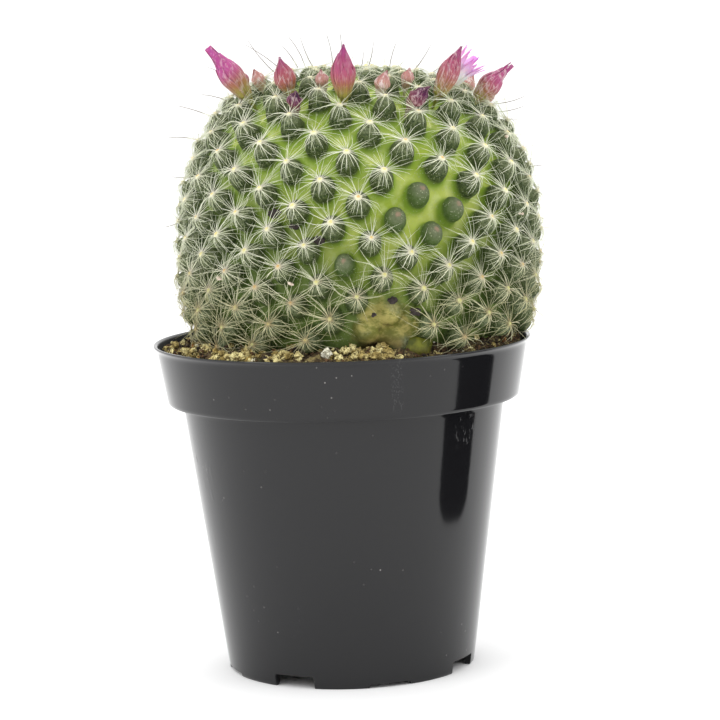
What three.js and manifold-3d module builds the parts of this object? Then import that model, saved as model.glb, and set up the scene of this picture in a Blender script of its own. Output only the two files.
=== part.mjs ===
// A round cactus in a black nursery pot, with a ring of pink buds round its crown.
// Millimetres, +Z up. The pot stands on Z = 0 and the view from the front looks along +Y.
// Turns round the plant are in degrees from the front (-Y), positive toward +X.

import * as THREE from 'three';
import { ConvexHull } from 'three/addons/math/ConvexHull.js';
import * as BufferGeometryUtils from 'three/addons/utils/BufferGeometryUtils.js';
import Module from 'manifold-3d';

const wasm = await Module();
wasm.setup();

// Pot: a common 9 cm thin-walled nursery pot with a stepped collar
const potHigh = 78.7;
const rimRadius = 45;
const wall = 1.1;
const lipHigh = 1.3;
const lipFlare = 0.7;
const collarHigh = 14.1;
const collarRadius = 42;
const bodyTopRadius = 38.6;
const footRadius = 29.6;
const footWide = 1.6;
const floorUnder = 2.8;
const floorTop = 4;
const potSides = 64;

// Notches through the foot ring, and a drain hole behind each one
const notchCount = 8;
const notchFirstTurn = -29.5;
const notchWide = 8.8;
const notchHigh = 2.4;
const notchDeep = 9;
const drainRadius = 3;
const drainReach = 23;
const drainSides = 8;

// Soil: highest at the front, where it meets the rim, and lower at the back and left
const soilGap = 0.3;
const soilMiddle = 76.9;
const soilFall = 0.9;
const soilHighTurn = 25;
const soilRise = 0.6;
const soilClod = 0.3;
const soilSides = 48;
const soilRings = 5;

// Stem: the areoles lie on a flattened globe, and its lower end narrows into the soil
const stemX = 3.2;
const stemLean = 2.5;
const globeRadius = 43.3;
const globeMiddle = 21.3;
const crownHigh = 44.5;
const globeDeep = 38.5;
const roundness = 2.7;
const rootTopRadius = 33;
const rootShoulder = 4.5;
const rootRadius = 27;
const rootDeep = 13;
const socketGap = 0.6;

// Tubercles: each stands a golden angle round from the last, a little further down the globe
const goldenTurn = 137.529;
const firstTurn = 238.58;
const crownStep = 0.6513;
const stepSlows = 2.0848e-3;
const stepBend = 3.4965e-6;
const firstReach = 0.57;
const firstTubercle = 5;
const lastTubercle = 330;
const tubercleHigh = 6.8;
const tubercleLift = 1.5;
const tubercleRadius = 2.9;
const shoulderAt = 0.72;
const shoulderShare = 0.62;
const areoleRadius = 0.56;
const areoleDip = 0.25;
const fullShare = 75;
const youngReach = 10;
const lowestAreole = 2.3;
const soilClearance = 0.5;
const bareTubercles = [122, 135, 143, 156, 185];
const corkyTubercles = [232, 253, 266];
const corkyHigh = 0.45;
const bareWidth = 3;

// Spines
const spineShort = 5;
const spineLong = 8;
const uprightExtra = 1.2;
const spineRise = 14;
const youngSpineRise = 38;
const uprightRise = 55;
const riseSpread = 16;
const swingSpread = 13;
const youngGrowth = 0.75;

// A spine that is in the way is tried again, each time steeper and shorter
const spineTries = 24;
const steeper = 24;
const shorter = 0.45;
const spineSpacing = 1;
const spineShares = [0.3, 0.45, 0.6, 0.75, 0.9, 1];
const rimClearance = 0.9;
const rimZone = 3.4;

// Buds: each stands in the axil below a tubercle, a golden-angle count as for the tubercles.
// axil is that tubercle's number, long runs from the skin to the tip, wide is the bud's own
// width, and the tip lies lean degrees off the upright, toward a turn round the plant.
const buds = [
  { name: 'bud_far_left', stage: 'closed', axil: 65, long: 19.6, wide: 5.5, lean: 39.4, toward: -71 },
  { name: 'bud_left', stage: 'closed', axil: 57, long: 11.7, wide: 4.9, lean: 23, toward: -46.9 },
  { name: 'bud_middle', stage: 'closed', axil: 62, long: 16.3, wide: 5.5, lean: 24.2, toward: 8.4 },
  { name: 'bud_right', stage: 'closed', axil: 59, long: 15.3, wide: 5.2, lean: 35.8, toward: 61.7 },
  { name: 'bud_far_right', stage: 'closed', axil: 64, long: 15.6, wide: 5.2, lean: 44, toward: 81.2 },
  { name: 'bud_back', stage: 'closed', axil: 58, long: 9.6, wide: 4.6 },
  { name: 'bud_back_left', stage: 'closed', axil: 63, long: 9.8, wide: 4.8 },
  { name: 'bud_back_right', stage: 'closed', axil: 69, long: 12.5, wide: 5 },
  { name: 'bud_side_left', stage: 'closed', axil: 60, long: 11.5, wide: 4.8 },
  { name: 'young_bud_1', stage: 'young', axil: 54, long: 9, wide: 3.8, lean: 22.9, toward: 34.7 },
  { name: 'young_bud_2', stage: 'young', axil: 52, long: 8.2, wide: 3.2 },
  { name: 'young_bud_3', stage: 'young', axil: 49, long: 7.9, wide: 3 },
  { name: 'young_bud_4', stage: 'young', axil: 46, long: 7.7, wide: 3 },
  { name: 'young_bud_5', stage: 'young', axil: 50, long: 8, wide: 3.2 },
  { name: 'young_bud_6', stage: 'young', axil: 53, long: 8.3, wide: 3.4 },
  { name: 'young_bud_7', stage: 'young', axil: 56, long: 8.6, wide: 3.6 },
  { name: 'young_bud_8', stage: 'young', axil: 61, long: 9, wide: 3.8 },
  { name: 'dried_bud_1', stage: 'dried', axil: 67, long: 10.6, wide: 4, lean: 43.7, toward: 51.8 },
  { name: 'dried_bud_2', stage: 'dried', axil: 70, long: 8.2, wide: 3.6, lean: 32.3, toward: -36.7 },
  { name: 'dried_bud_3', stage: 'dried', axil: 66, long: 8.6, wide: 3.6 },
  { name: 'dried_bud_4', stage: 'dried', axil: 68, long: 8.8, wide: 3.6 },
  { name: 'open_flower', stage: 'open', axil: 51, long: 13.9, wide: 7.5, lean: 36.9, toward: 77.3 },
];
const budSeatGap = 0.4;
const budNeck = [[1.8, 0.45], [4.9, 1.45]];
const elbowAt = 0.52;
const budLedge = 0.3;
const budWidestAt = 0.56;
const budWidestHigh = 5.4;

// Tepal layers above a bud's widest place: where the edge lies on what is left of the bud,
// its width as a share of the bud's own, and how far its points reach
const closedLayers = [[0.35, 0.88, 0.15], [0.68, 0.5, 0.12]];
const youngLayers = [[0.4, 0.8, 0.2]];

// Open flower
const petalCount = 9;
const petalThick = 0.7;
const petalFill = 0.8;
const mouthAt = 0.58;
const mouthRadius = 2.2;
const petalMiddleAt = 0.8;
const petalMiddleSpread = 0.42;
const flowerDome = 0.08;

const degrees = Math.PI / 180;
const up = new THREE.Vector3(0, 0, 1);

// Seeded random numbers, the same on each run
let seed = 4;
function random() {
  const factor = 1664525;
  const step = 1013904223;
  const range = 4294967296;
  seed = (seed * factor + step) % range;
  return seed / range;
}

function between(low, high) {
  return low + (high - low) * random();
}

// Unit vector at a turn round the plant, leaning away from the upright
function headingAt(turn, lean) {
  const around = turn * degrees;
  const off = lean * degrees;
  const across = Math.sin(off);
  return new THREE.Vector3(Math.sin(around) * across, -Math.cos(around) * across, Math.cos(off));
}

// A closed geometry as a manifold-3d solid, and back
function toSolid(geometry) {
  const bare = geometry.clone();
  bare.deleteAttribute('normal');
  bare.deleteAttribute('uv');
  const merged = BufferGeometryUtils.mergeVertices(bare);
  const mesh = new wasm.Mesh({
    numProp: 3,
    vertProperties: new Float32Array(merged.attributes.position.array),
    triVerts: new Uint32Array(merged.index.array),
  });
  return new wasm.Manifold(mesh);
}

function toGeometry(solid) {
  const mesh = solid.getMesh();
  const geometry = new THREE.BufferGeometry();
  geometry.setAttribute('position', new THREE.BufferAttribute(mesh.vertProperties, 3));
  geometry.setIndex(new THREE.BufferAttribute(mesh.triVerts, 1));
  geometry.computeVertexNormals();
  return geometry;
}

// Collects points and triangles for the surfaces that are built directly
class Surface {
  constructor() {
    this.points = [];
    this.triangles = [];
  }

  add(point) {
    return this.points.push(point.clone()) - 1;
  }

  addRing(points) {
    return points.map((point) => this.add(point));
  }

  face(a, b, c) {
    this.triangles.push(a, b, c);
  }

  // Joins two rings of the same count, the upper one further along the outward direction
  band(lower, upper) {
    for (let here = 0; here < lower.length; here++) {
      const next = (here + 1) % lower.length;
      this.face(lower[here], lower[next], upper[next]);
      this.face(lower[here], upper[next], upper[here]);
    }
  }

  fan(ring, middle) {
    for (let here = 0; here < ring.length; here++) {
      this.face(ring[here], ring[(here + 1) % ring.length], middle);
    }
  }

  geometry() {
    const geometry = new THREE.BufferGeometry();
    geometry.setFromPoints(this.points);
    geometry.setIndex(this.triangles);
    geometry.computeVertexNormals();
    return geometry;
  }
}

// Turned parts: a profile of [radius, height] pairs from the axis round to the axis, about +Z
function turned(profile, sides) {
  const outline = profile.map(([radius, height]) => new THREE.Vector2(radius, height));
  return new THREE.LatheGeometry(outline, sides).rotateX(90 * degrees);
}

function potGeometry() {
  const shelf = potHigh - collarHigh;
  const lipFoot = potHigh - lipHigh;
  const underLip = rimRadius - lipFlare;
  const floorRadius = footRadius + (bodyTopRadius - footRadius) * floorTop / shelf - wall;
  const profile = [
    [0, floorUnder],
    [footRadius - footWide, floorUnder],
    [footRadius - footWide, 0],
    [footRadius, 0],
    [bodyTopRadius, shelf],
    [collarRadius, shelf],
    [underLip, lipFoot],
    [rimRadius, potHigh],
    [rimRadius - wall, potHigh],
    [underLip - wall, lipFoot],
    [collarRadius - wall, shelf + wall],
    [bodyTopRadius - wall, shelf + wall],
    [floorRadius, floorTop],
    [0, floorTop],
  ];
  let solid = toSolid(turned(profile, potSides));
  const notch = new THREE.BoxGeometry(notchWide, notchDeep, notchHigh * 2);
  notch.translate(0, -footRadius, 0);
  const drain = new THREE.CylinderGeometry(drainRadius, drainRadius, floorTop * 2, drainSides);
  drain.rotateX(90 * degrees).translate(0, -drainReach, floorTop);
  for (let count = 0; count < notchCount; count++) {
    const turn = (notchFirstTurn + count * 360 / notchCount) * degrees;
    solid = solid.subtract(toSolid(notch.clone().rotateZ(turn)));
    solid = solid.subtract(toSolid(drain.clone().rotateZ(turn)));
  }
  return toGeometry(solid);
}

// Height of the soil's top, which slopes across the pot, rises to the stem and is lumpy
function soilHeight(x, y) {
  const radius = Math.hypot(x, y);
  const highWay = headingAt(soilHighTurn, 90);
  const slope = soilFall * (x * highWay.x + y * highWay.y) / rimRadius;
  const rise = soilRise * THREE.MathUtils.clamp((rimRadius - radius) / (rimRadius - rootTopRadius), 0, 1);
  const clods = Math.sin(x * 0.9 + 1) * Math.sin(y * 0.8) + Math.sin(x * 0.45 - y * 0.6);
  return soilMiddle + slope + rise + soilClod * clods;
}

// The socket that the root fills, as a solid in the stem's own leaning frame
function rootSolid(gap, sides) {
  const profile = [
    [0, -rootDeep - gap],
    [rootRadius + gap, -rootDeep - gap],
    [rootTopRadius + gap, -rootShoulder - gap],
    [rootTopRadius + gap, globeMiddle],
    [0, globeMiddle],
  ];
  return turned(profile, sides);
}

function soilGeometry(stand) {
  const shelf = potHigh - collarHigh;
  const wallRadii = [
    [floorTop, footRadius + (bodyTopRadius - footRadius) * floorTop / shelf - wall - soilGap],
    [shelf + wall + soilGap, bodyTopRadius - wall - soilGap],
    [shelf + wall + soilGap, collarRadius - wall - soilGap],
  ];
  const topRadius = rimRadius - lipFlare - wall - soilGap * 2;
  const surface = new Surface();
  const ringAt = (radius, heightAt) => {
    const points = [];
    for (let side = 0; side < soilSides; side++) {
      const around = side / soilSides * 2 * Math.PI;
      const x = radius * Math.cos(around);
      const y = radius * Math.sin(around);
      points.push(new THREE.Vector3(x, y, heightAt(x, y)));
    }
    return surface.addRing(points);
  };
  const rings = wallRadii.map(([height, radius]) => ringAt(radius, () => height));
  for (let ring = 0; ring < soilRings; ring++) {
    const share = ring / (soilRings - 1);
    rings.push(ringAt(THREE.MathUtils.lerp(topRadius, rootTopRadius - 1, share), soilHeight));
  }
  for (let level = 1; level < rings.length; level++) {
    surface.band(rings[level - 1], rings[level]);
  }
  surface.fan(rings.at(-1), surface.add(new THREE.Vector3(0, 0, soilMiddle)));
  surface.fan(rings[0].toReversed(), surface.add(new THREE.Vector3(0, 0, floorTop)));
  const socket = toSolid(rootSolid(socketGap, soilSides).applyMatrix4(stand));
  return toGeometry(toSolid(surface.geometry()).subtract(socket));
}

// The globe's outline from the crown down: reach is the distance along it, and sweep is the
// sum of each step over its radius, which is what a map of the globe on a sphere needs
const outline = (() => {
  const steps = 900;
  const lowest = 150 * degrees;
  const rows = [{ radius: 0, height: globeMiddle + crownHigh, reach: 0, sweep: 0 }];
  for (let step = 1; step <= steps; step++) {
    const angle = lowest * step / steps;
    const half = Math.cos(angle) > 0 ? crownHigh : globeDeep;
    const across = Math.abs(Math.sin(angle) / globeRadius) ** roundness;
    const along = Math.abs(Math.cos(angle) / half) ** roundness;
    const ray = (across + along) ** (-1 / roundness);
    const last = rows.at(-1);
    const radius = ray * Math.sin(angle);
    const height = globeMiddle + ray * Math.cos(angle);
    const length = Math.hypot(radius - last.radius, height - last.height);
    const sweep = last.sweep + length / ((radius + last.radius) / 2);
    rows.push({ radius, height, reach: last.reach + length, sweep });
  }
  return rows;
})();

function outlineAt(reach) {
  const above = Math.max(1, outline.findIndex((row) => row.reach >= reach));
  const from = outline[above - 1];
  const to = outline[above];
  const share = (reach - from.reach) / (to.reach - from.reach);
  return {
    radius: THREE.MathUtils.lerp(from.radius, to.radius, share),
    height: THREE.MathUtils.lerp(from.height, to.height, share),
    sweep: THREE.MathUtils.lerp(from.sweep, to.sweep, share),
  };
}

// Point on the globe and the outward normal there
function globeAt(reach, turn) {
  const row = outlineAt(reach);
  const rise = row.height - globeMiddle;
  const half = rise > 0 ? crownHigh : globeDeep;
  const outward = headingAt(turn, 90);
  const across = (row.radius / globeRadius) ** (roundness - 1) / globeRadius;
  const along = Math.sign(rise) * Math.abs(rise / half) ** (roundness - 1) / half;
  const normal = outward.clone().multiplyScalar(across).addScaledVector(up, along).normalize();
  const point = outward.multiplyScalar(row.radius).addScaledVector(up, row.height);
  return { point, normal };
}

// Tubercles are low at the crown, where they are young
function reliefAt(reach) {
  return tubercleHigh * (1 - Math.exp(-(reach + 2) / youngReach));
}

function skinAt(reach, turn) {
  const { point, normal } = globeAt(reach, turn);
  return point.addScaledVector(normal, -reliefAt(reach));
}

function sprout(number) {
  const slowed = crownStep * number - stepSlows * number ** 2;
  return {
    reach: firstReach + slowed + stepBend * number ** 3,
    turn: firstTurn - goldenTurn * number,
  };
}

// How large a tubercle's share of the globe is, from 0 to 1 for a full-grown one
function growthOf(number) {
  const step = crownStep - 2 * stepSlows * number + 3 * stepBend * number ** 2;
  const share = 2 * Math.PI * outlineAt(sprout(number).reach).radius * step;
  return Math.min(1, Math.sqrt(share / fullShare));
}

function growTubercles(stand) {
  const tubercles = [];
  for (let number = firstTubercle; number <= lastTubercle; number++) {
    const { reach, turn } = sprout(number);
    const tip = globeAt(reach, turn).point;
    const inPot = tip.clone().applyMatrix4(stand);
    if (inPot.z > soilHeight(inPot.x, inPot.y) + lowestAreole) {
      tubercles.push({ number, reach, turn, tip, growth: growthOf(number) });
    }
  }
  return tubercles;
}

// Neighbours: the tubercles are mapped onto a sphere without stretching angles, where a
// convex hull gives the triangles between them. The last point is the hidden root.
function findNeighbours(tubercles) {
  const middleSweep = outlineAt(outline.find((row) => row.height < globeMiddle).reach).sweep;
  const onSphere = tubercles.map(({ reach, turn }) => {
    const lean = 2 * Math.atan(Math.exp(outlineAt(reach).sweep - middleSweep)) / degrees;
    return headingAt(turn, lean);
  });
  onSphere.push(up.clone().negate());
  const numberOf = new Map(onSphere.map((point, index) => [point, index]));
  const hull = new ConvexHull().setFromPoints(onSphere);
  return hull.faces.map((face) => {
    const corners = [];
    let edge = face.edge;
    do {
      corners.push(numberOf.get(edge.head().point));
      edge = edge.next;
    } while (edge !== face.edge);
    return corners;
  });
}

// Where the stem meets the soil it rests just over it: such a point is lifted clear
function liftOffSoil(point, stand) {
  const inPot = point.clone().applyMatrix4(stand);
  const lift = soilHeight(inPot.x, inPot.y) + soilClearance - inPot.z;
  return point.setZ(point.z + Math.max(0, lift));
}

// The lowest skin between the corners of a triangle of tubercles
function valleyOf(corners, tubercles, stand) {
  const belowLast = 2;
  const real = corners.filter((corner) => corner < tubercles.length).map((corner) => tubercles[corner]);
  const heading = new THREE.Vector3();
  real.forEach((tubercle) => heading.add(headingAt(tubercle.turn, 90)));
  const turn = Math.atan2(heading.x, -heading.y) / degrees;
  const reaches = real.map((tubercle) => tubercle.reach);
  const atRoot = real.length < corners.length;
  const mean = reaches.reduce((sum, reach) => sum + reach, 0) / reaches.length;
  const slide = tubercleLift * Math.min(1, mean / youngReach);
  const reach = atRoot ? Math.max(...reaches) + belowLast : mean + slide;
  const point = skinAt(reach, turn);
  const tucked = atRoot ? Math.min(1, rootTopRadius / Math.hypot(point.x, point.y)) : 1;
  point.multiply(new THREE.Vector3(tucked, tucked, 1));
  return { corners, reach, turn, point: liftOffSoil(point, stand) };
}

// The valleys round one tubercle, in order, counter-clockwise from outside
function valleysRound(index, valleys) {
  const nextOf = new Map();
  valleys.forEach((valley) => {
    const place = valley.corners.indexOf(index);
    if (place >= 0) {
      const from = valley.corners[(place + 1) % 3];
      const to = valley.corners[(place + 2) % 3];
      nextOf.set(from, { to, valley });
    }
  });
  const ring = [];
  const start = nextOf.keys().next().value;
  let neighbour = start;
  do {
    const step = nextOf.get(neighbour);
    ring.push(step.valley);
    neighbour = step.to;
  } while (neighbour !== start);
  return ring;
}

// Points already taken by spines and buds, which new spines keep clear of
const taken = [];

function isClear(points, owner) {
  return points.every((point) => taken.every((other) => {
    return other.owner === owner || other.point.distanceTo(point) > other.radius + spineSpacing;
  }));
}

function isAboveSoil(points, stand) {
  return points.every((point) => {
    const inPot = point.clone().applyMatrix4(stand);
    const radius = Math.hypot(inPot.x, inPot.y);
    const floor = radius > rimRadius - rimZone ? potHigh : soilHeight(inPot.x, inPot.y);
    return inPot.z > floor + rimClearance;
  });
}

// A spine's tip, found by trying directions near the given one until nothing is in the way
function findSpineTip(tubercle, outward, upright, stand) {
  const { normal } = globeAt(tubercle.reach, tubercle.turn);
  const flat = outward.clone().addScaledVector(normal, -outward.dot(normal)).normalize();
  const plainRise = tubercle.growth < youngGrowth ? youngSpineRise : spineRise;
  const extra = upright ? uprightExtra : 0;
  for (let attempt = 0; attempt < spineTries; attempt++) {
    const worn = attempt / spineTries;
    const lowest = upright ? uprightRise : plainRise;
    const rise = (lowest + between(0, riseSpread) + worn * steeper) * degrees;
    const swing = between(-swingSpread, swingSpread) * degrees;
    const length = (between(spineShort, spineLong) + extra) * (1 - worn * shorter);
    const way = flat.clone().applyAxisAngle(normal, swing);
    way.multiplyScalar(Math.cos(rise)).addScaledVector(normal, Math.sin(rise));
    const points = spineShares.map((share) => tubercle.tip.clone().addScaledVector(way, length * share));
    if (isClear(points, tubercle) && isAboveSoil(points, stand)) {
      points.forEach((point) => taken.push({ owner: tubercle, point, radius: 0 }));
      return points.at(-1);
    }
  }
  return null;
}

// One tubercle over its ring of valleys, with the spines standing on its areole
function addTubercle(surface, tubercle, ring, stand) {
  const growth = tubercle.growth;
  const bare = bareTubercles.includes(tubercle.number);
  const corky = corkyTubercles.includes(tubercle.number);
  const slide = tubercleLift * Math.min(1, tubercle.reach / youngReach);
  const foot = skinAt(tubercle.reach + slide, tubercle.turn);
  const tip = corky ? foot.clone().lerp(tubercle.tip, corkyHigh) : tubercle.tip;
  const axis = tip.clone().sub(foot).normalize();
  const shoulder = foot.clone().lerp(tip, shoulderAt);
  const outward = ring.map((valley) => {
    const away = valley.point.clone().sub(foot);
    return away.addScaledVector(axis, -away.dot(axis));
  });
  const shoulderRing = outward.map((away) => {
    const radius = Math.min(tubercleRadius * growth, away.length() * shoulderShare);
    return liftOffSoil(shoulder.clone().addScaledVector(away.clone().normalize(), radius), stand);
  });
  const blunt = bare || corky ? bareWidth : 1;
  const topRing = outward.map((away) => {
    const rim = tip.clone().addScaledVector(axis, -areoleDip * blunt * growth);
    return rim.addScaledVector(away.clone().normalize(), areoleRadius * blunt * growth);
  });
  const valleyIndex = ring.map((valley) => valley.index);
  const shoulderIndex = surface.addRing(shoulderRing);
  const topIndex = surface.addRing(topRing);
  const middle = surface.add(tip);
  surface.band(valleyIndex, shoulderIndex);
  surface.band(shoulderIndex, topIndex);
  const skipped = ring.length > 5 ? tubercle.number % ring.length : -1;
  const uprightOne = (tubercle.number * 2 + 1) % ring.length;
  for (let here = 0; here < ring.length; here++) {
    const next = (here + 1) % ring.length;
    const away = outward[here].clone().normalize().add(outward[next].clone().normalize());
    const spined = !bare && !corky && here !== skipped;
    const spineTip = spined ? findSpineTip(tubercle, away, here === uprightOne, stand) : null;
    if (spineTip) {
      surface.fan([topIndex[here], topIndex[next], middle], surface.add(spineTip));
    } else {
      surface.face(topIndex[here], topIndex[next], middle);
    }
  }
}

// The root closes the stem below its lowest tubercles, inside the socket in the soil
function addRoot(surface, ring) {
  const ringAt = (radius, height) => ring.map((valley) => {
    return headingAt(valley.turn, 90).multiplyScalar(radius).addScaledVector(up, height);
  });
  const outside = ring.map((valley) => valley.index);
  const top = surface.addRing(ringAt(rootTopRadius, -rootShoulder));
  const bottom = surface.addRing(ringAt(rootRadius, -rootDeep));
  surface.band(outside, top);
  surface.band(top, bottom);
  surface.fan(bottom, surface.add(new THREE.Vector3(0, 0, -rootDeep)));
}

function stemGeometry(tubercles, valleys, stand) {
  const surface = new Surface();
  valleys.forEach((valley) => {
    valley.index = surface.add(valley.point);
  });
  tubercles.forEach((tubercle, index) => {
    addTubercle(surface, tubercle, valleysRound(index, valleys), stand);
  });
  addRoot(surface, valleysRound(tubercles.length, valleys));
  return surface.geometry();
}

// The valley that a bud stands in: the one nearest the middle of three known tubercles
function seatOf(bud, valleys) {
  const above = [0, 13, 21].map((step) => sprout(bud.axil - step));
  const target = new THREE.Vector3();
  above.forEach(({ reach, turn }) => target.addScaledVector(globeAt(reach, turn).point, 1 / above.length));
  const distance = (valley) => globeAt(valley.reach, valley.turn).point.distanceTo(target);
  const valley = valleys.reduce((best, other) => (distance(other) < distance(best) ? other : best));
  return { point: valley.point, normal: globeAt(valley.reach, valley.turn).normal };
}

// A bud's curved middle line, from its seat up between the tubercles and over to its tip
function budPath(bud, seat) {
  const heading = bud.lean === undefined ? seat.normal : headingAt(bud.toward, bud.lean);
  const foot = seat.point.clone().addScaledVector(seat.normal, budSeatGap);
  const elbow = foot.clone().addScaledVector(seat.normal, bud.long * elbowAt);
  const tip = seat.point.clone().addScaledVector(heading, bud.long);
  return new THREE.QuadraticBezierCurve3(foot, elbow, tip);
}

function ringRound(path, share, radius, sides, zigzag) {
  const points = [];
  for (let side = 0; side < sides; side++) {
    const around = side / sides * 2 * Math.PI;
    const along = THREE.MathUtils.clamp(share + (side % 2 ? -zigzag : zigzag), 0, 1);
    const turn = new THREE.Quaternion().setFromUnitVectors(up, path.getTangentAt(along));
    const arm = new THREE.Vector3(Math.cos(around) * radius, Math.sin(around) * radius, 0);
    points.push(arm.applyQuaternion(turn).add(path.getPointAt(along)));
  }
  return points;
}

// Every bud is pointed at its foot, where it stands in the notch between three tubercles
function neckRings(bud, path, sides) {
  return budNeck.map(([height, radius]) => {
    return ringRound(path, height / bud.long, Math.min(radius, bud.wide * 0.45), sides, 0);
  });
}

// A closed bud: layers of pointed tepals, each edge a zigzag ledge over the next layer
function closedBud(bud, path) {
  const sides = bud.stage === 'closed' ? 10 : 8;
  const widest = bud.wide / 2;
  const widestAt = Math.max(budWidestAt, budWidestHigh / bud.long);
  const layers = bud.stage === 'closed' ? closedLayers : youngLayers;
  const surface = new Surface();
  const rings = neckRings(bud, path, sides);
  rings.push(ringRound(path, widestAt, widest, sides, 0));
  layers.forEach(([above, size, zigzag]) => {
    const rest = 1 - widestAt;
    rings.push(ringRound(path, widestAt + rest * above, widest * size, sides, rest * zigzag));
    rings.push(ringRound(path, widestAt + rest * above, widest * size - budLedge, sides, rest * zigzag));
  });
  const numbered = rings.map((ring) => surface.addRing(ring));
  for (let level = 1; level < numbered.length; level++) {
    surface.band(numbered[level - 1], numbered[level]);
  }
  surface.fan(numbered.at(-1), surface.add(path.getPointAt(1)));
  surface.fan(numbered[0].toReversed(), surface.add(path.getPointAt(0)));
  return surface.geometry();
}

// The open flower: a tube, a ring of pointed petals round its mouth, and a low dome inside
function openFlower(bud, path) {
  const sides = petalCount;
  const spread = bud.wide * petalMiddleSpread;
  const surface = new Surface();
  const [foot, waist] = neckRings(bud, path, sides).map((ring) => surface.addRing(ring));
  const outside = surface.addRing(ringRound(path, mouthAt, mouthRadius, sides, 0));
  const inside = surface.addRing(ringRound(path, mouthAt, mouthRadius - petalThick, sides, 0));
  const tips = ringRound(path, 1, bud.wide / 2, sides * 2, 0);
  const outer = ringRound(path, petalMiddleAt, spread, sides * 2, 0);
  const inner = ringRound(path, petalMiddleAt, spread - petalThick, sides * 2, 0);
  surface.band(foot, waist);
  surface.band(waist, outside);
  for (let petal = 0; petal < sides; petal++) {
    const next = (petal + 1) % sides;
    const middle = petal * 2 + 1;
    const after = (middle + 1) % (sides * 2);
    const root = [outside[petal], outside[next], inside[next], inside[petal]];
    const broad = [
      outer[middle].clone().lerp(outer[middle - 1], petalFill),
      outer[middle].clone().lerp(outer[after], petalFill),
      inner[middle].clone().lerp(inner[after], petalFill),
      inner[middle].clone().lerp(inner[middle - 1], petalFill),
    ];
    const broadIndex = surface.addRing(broad);
    surface.band(root, broadIndex);
    surface.fan(broadIndex, surface.add(tips[middle]));
  }
  surface.fan(inside, surface.add(path.getPointAt(mouthAt + flowerDome)));
  surface.fan(foot.toReversed(), surface.add(path.getPointAt(0)));
  return surface.geometry();
}

function budMesh(bud, seat, materials) {
  const path = budPath(bud, seat);
  const geometry = bud.stage === 'open' ? openFlower(bud, path) : closedBud(bud, path);
  for (const share of [0.2, ...spineShares]) {
    taken.push({ owner: bud.name, point: path.getPointAt(share), radius: bud.wide / 2 });
  }
  const mesh = new THREE.Mesh(geometry, materials[bud.stage]);
  mesh.name = bud.name;
  return mesh;
}

function named(name, geometry, material) {
  const mesh = new THREE.Mesh(geometry, material);
  mesh.name = name;
  return mesh;
}

function buildModel() {
  const plain = (color, roughness) => new THREE.MeshStandardMaterial({ color, roughness, metalness: 0 });
  const budMaterials = {
    closed: plain(0xb24a70, 0.5),
    young: plain(0xc58a80, 0.6),
    dried: plain(0x55284b, 0.8),
    open: plain(0xe3b6d2, 0.5),
  };
  const stand = new THREE.Matrix4().makeRotationY(stemLean * degrees).setPosition(stemX, 0, potHigh);
  const tubercles = growTubercles(stand);
  const valleys = findNeighbours(tubercles).map((corners) => valleyOf(corners, tubercles, stand));

  const cactus = new THREE.Group();
  cactus.applyMatrix4(stand);
  buds.forEach((bud) => cactus.add(budMesh(bud, seatOf(bud, valleys), budMaterials)));
  cactus.add(named('stem', stemGeometry(tubercles, valleys, stand), plain(0x5f8044, 0.6)));

  const model = new THREE.Group();
  model.add(named('pot', potGeometry(), plain(0x1b1b1d, 0.35)));
  model.add(named('soil', soilGeometry(stand), plain(0x6b5636, 0.95)));
  model.add(cactus);

  // The origin lies under the middle of the whole plant's box, on the ground
  const middle = new THREE.Box3().setFromObject(model, true).getCenter(new THREE.Vector3());
  model.position.set(-middle.x, -middle.y, 0);
  return model;
}

export default buildModel();
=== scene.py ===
import math
import random

import bpy
import numpy as np
from mathutils import Matrix, Vector, kdtree, noise


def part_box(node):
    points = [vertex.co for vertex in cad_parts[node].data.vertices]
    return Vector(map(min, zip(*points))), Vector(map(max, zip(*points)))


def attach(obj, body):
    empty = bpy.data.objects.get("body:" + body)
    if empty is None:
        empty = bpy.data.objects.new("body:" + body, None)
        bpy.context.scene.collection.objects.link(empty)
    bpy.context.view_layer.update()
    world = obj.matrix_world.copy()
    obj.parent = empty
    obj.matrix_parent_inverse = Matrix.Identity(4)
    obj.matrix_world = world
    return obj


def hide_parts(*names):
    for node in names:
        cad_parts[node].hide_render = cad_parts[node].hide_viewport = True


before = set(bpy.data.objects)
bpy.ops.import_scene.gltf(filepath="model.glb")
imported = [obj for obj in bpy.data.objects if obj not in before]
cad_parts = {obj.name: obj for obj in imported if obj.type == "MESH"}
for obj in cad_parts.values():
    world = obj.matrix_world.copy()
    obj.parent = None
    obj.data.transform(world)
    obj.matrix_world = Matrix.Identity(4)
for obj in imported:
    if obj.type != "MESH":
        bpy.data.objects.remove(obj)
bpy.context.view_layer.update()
print("frame loaded:", len(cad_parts), "nodes")
noise.seed_set(3)  # noise_vector would start from the clock

mm = 0.001
up = Vector((0, 0, 1))
potLow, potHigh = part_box("pot")
potAxis = Vector(((potLow.x + potHigh.x) / 2, (potLow.y + potHigh.y) / 2, 0))
potPlace = Matrix.Translation(potAxis) @ Matrix.Scale(mm, 4)  # from millimetres round the pot's own axis


# Selecting, adding, placing and joining

def clearSelection():
    if bpy.context.object and bpy.context.object.mode != "OBJECT":
        bpy.ops.object.mode_set(mode="OBJECT")
    bpy.ops.object.select_all(action="DESELECT")


def pick(piece):
    clearSelection()
    piece.select_set(True)
    bpy.context.view_layer.objects.active = piece


def addNew(operator, **settings):  # a primitive, lamp or camera, at the origin where no place is given
    clearSelection()
    operator(**{"location": (0, 0, 0), **settings})
    return bpy.context.object


def applyModifier(piece, kind, **settings):
    modifier = piece.modifiers.new(kind.lower(), kind)
    for name, value in settings.items():
        setattr(modifier, name, value)
    pick(piece)
    bpy.ops.object.modifier_apply(modifier=modifier.name)


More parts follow.
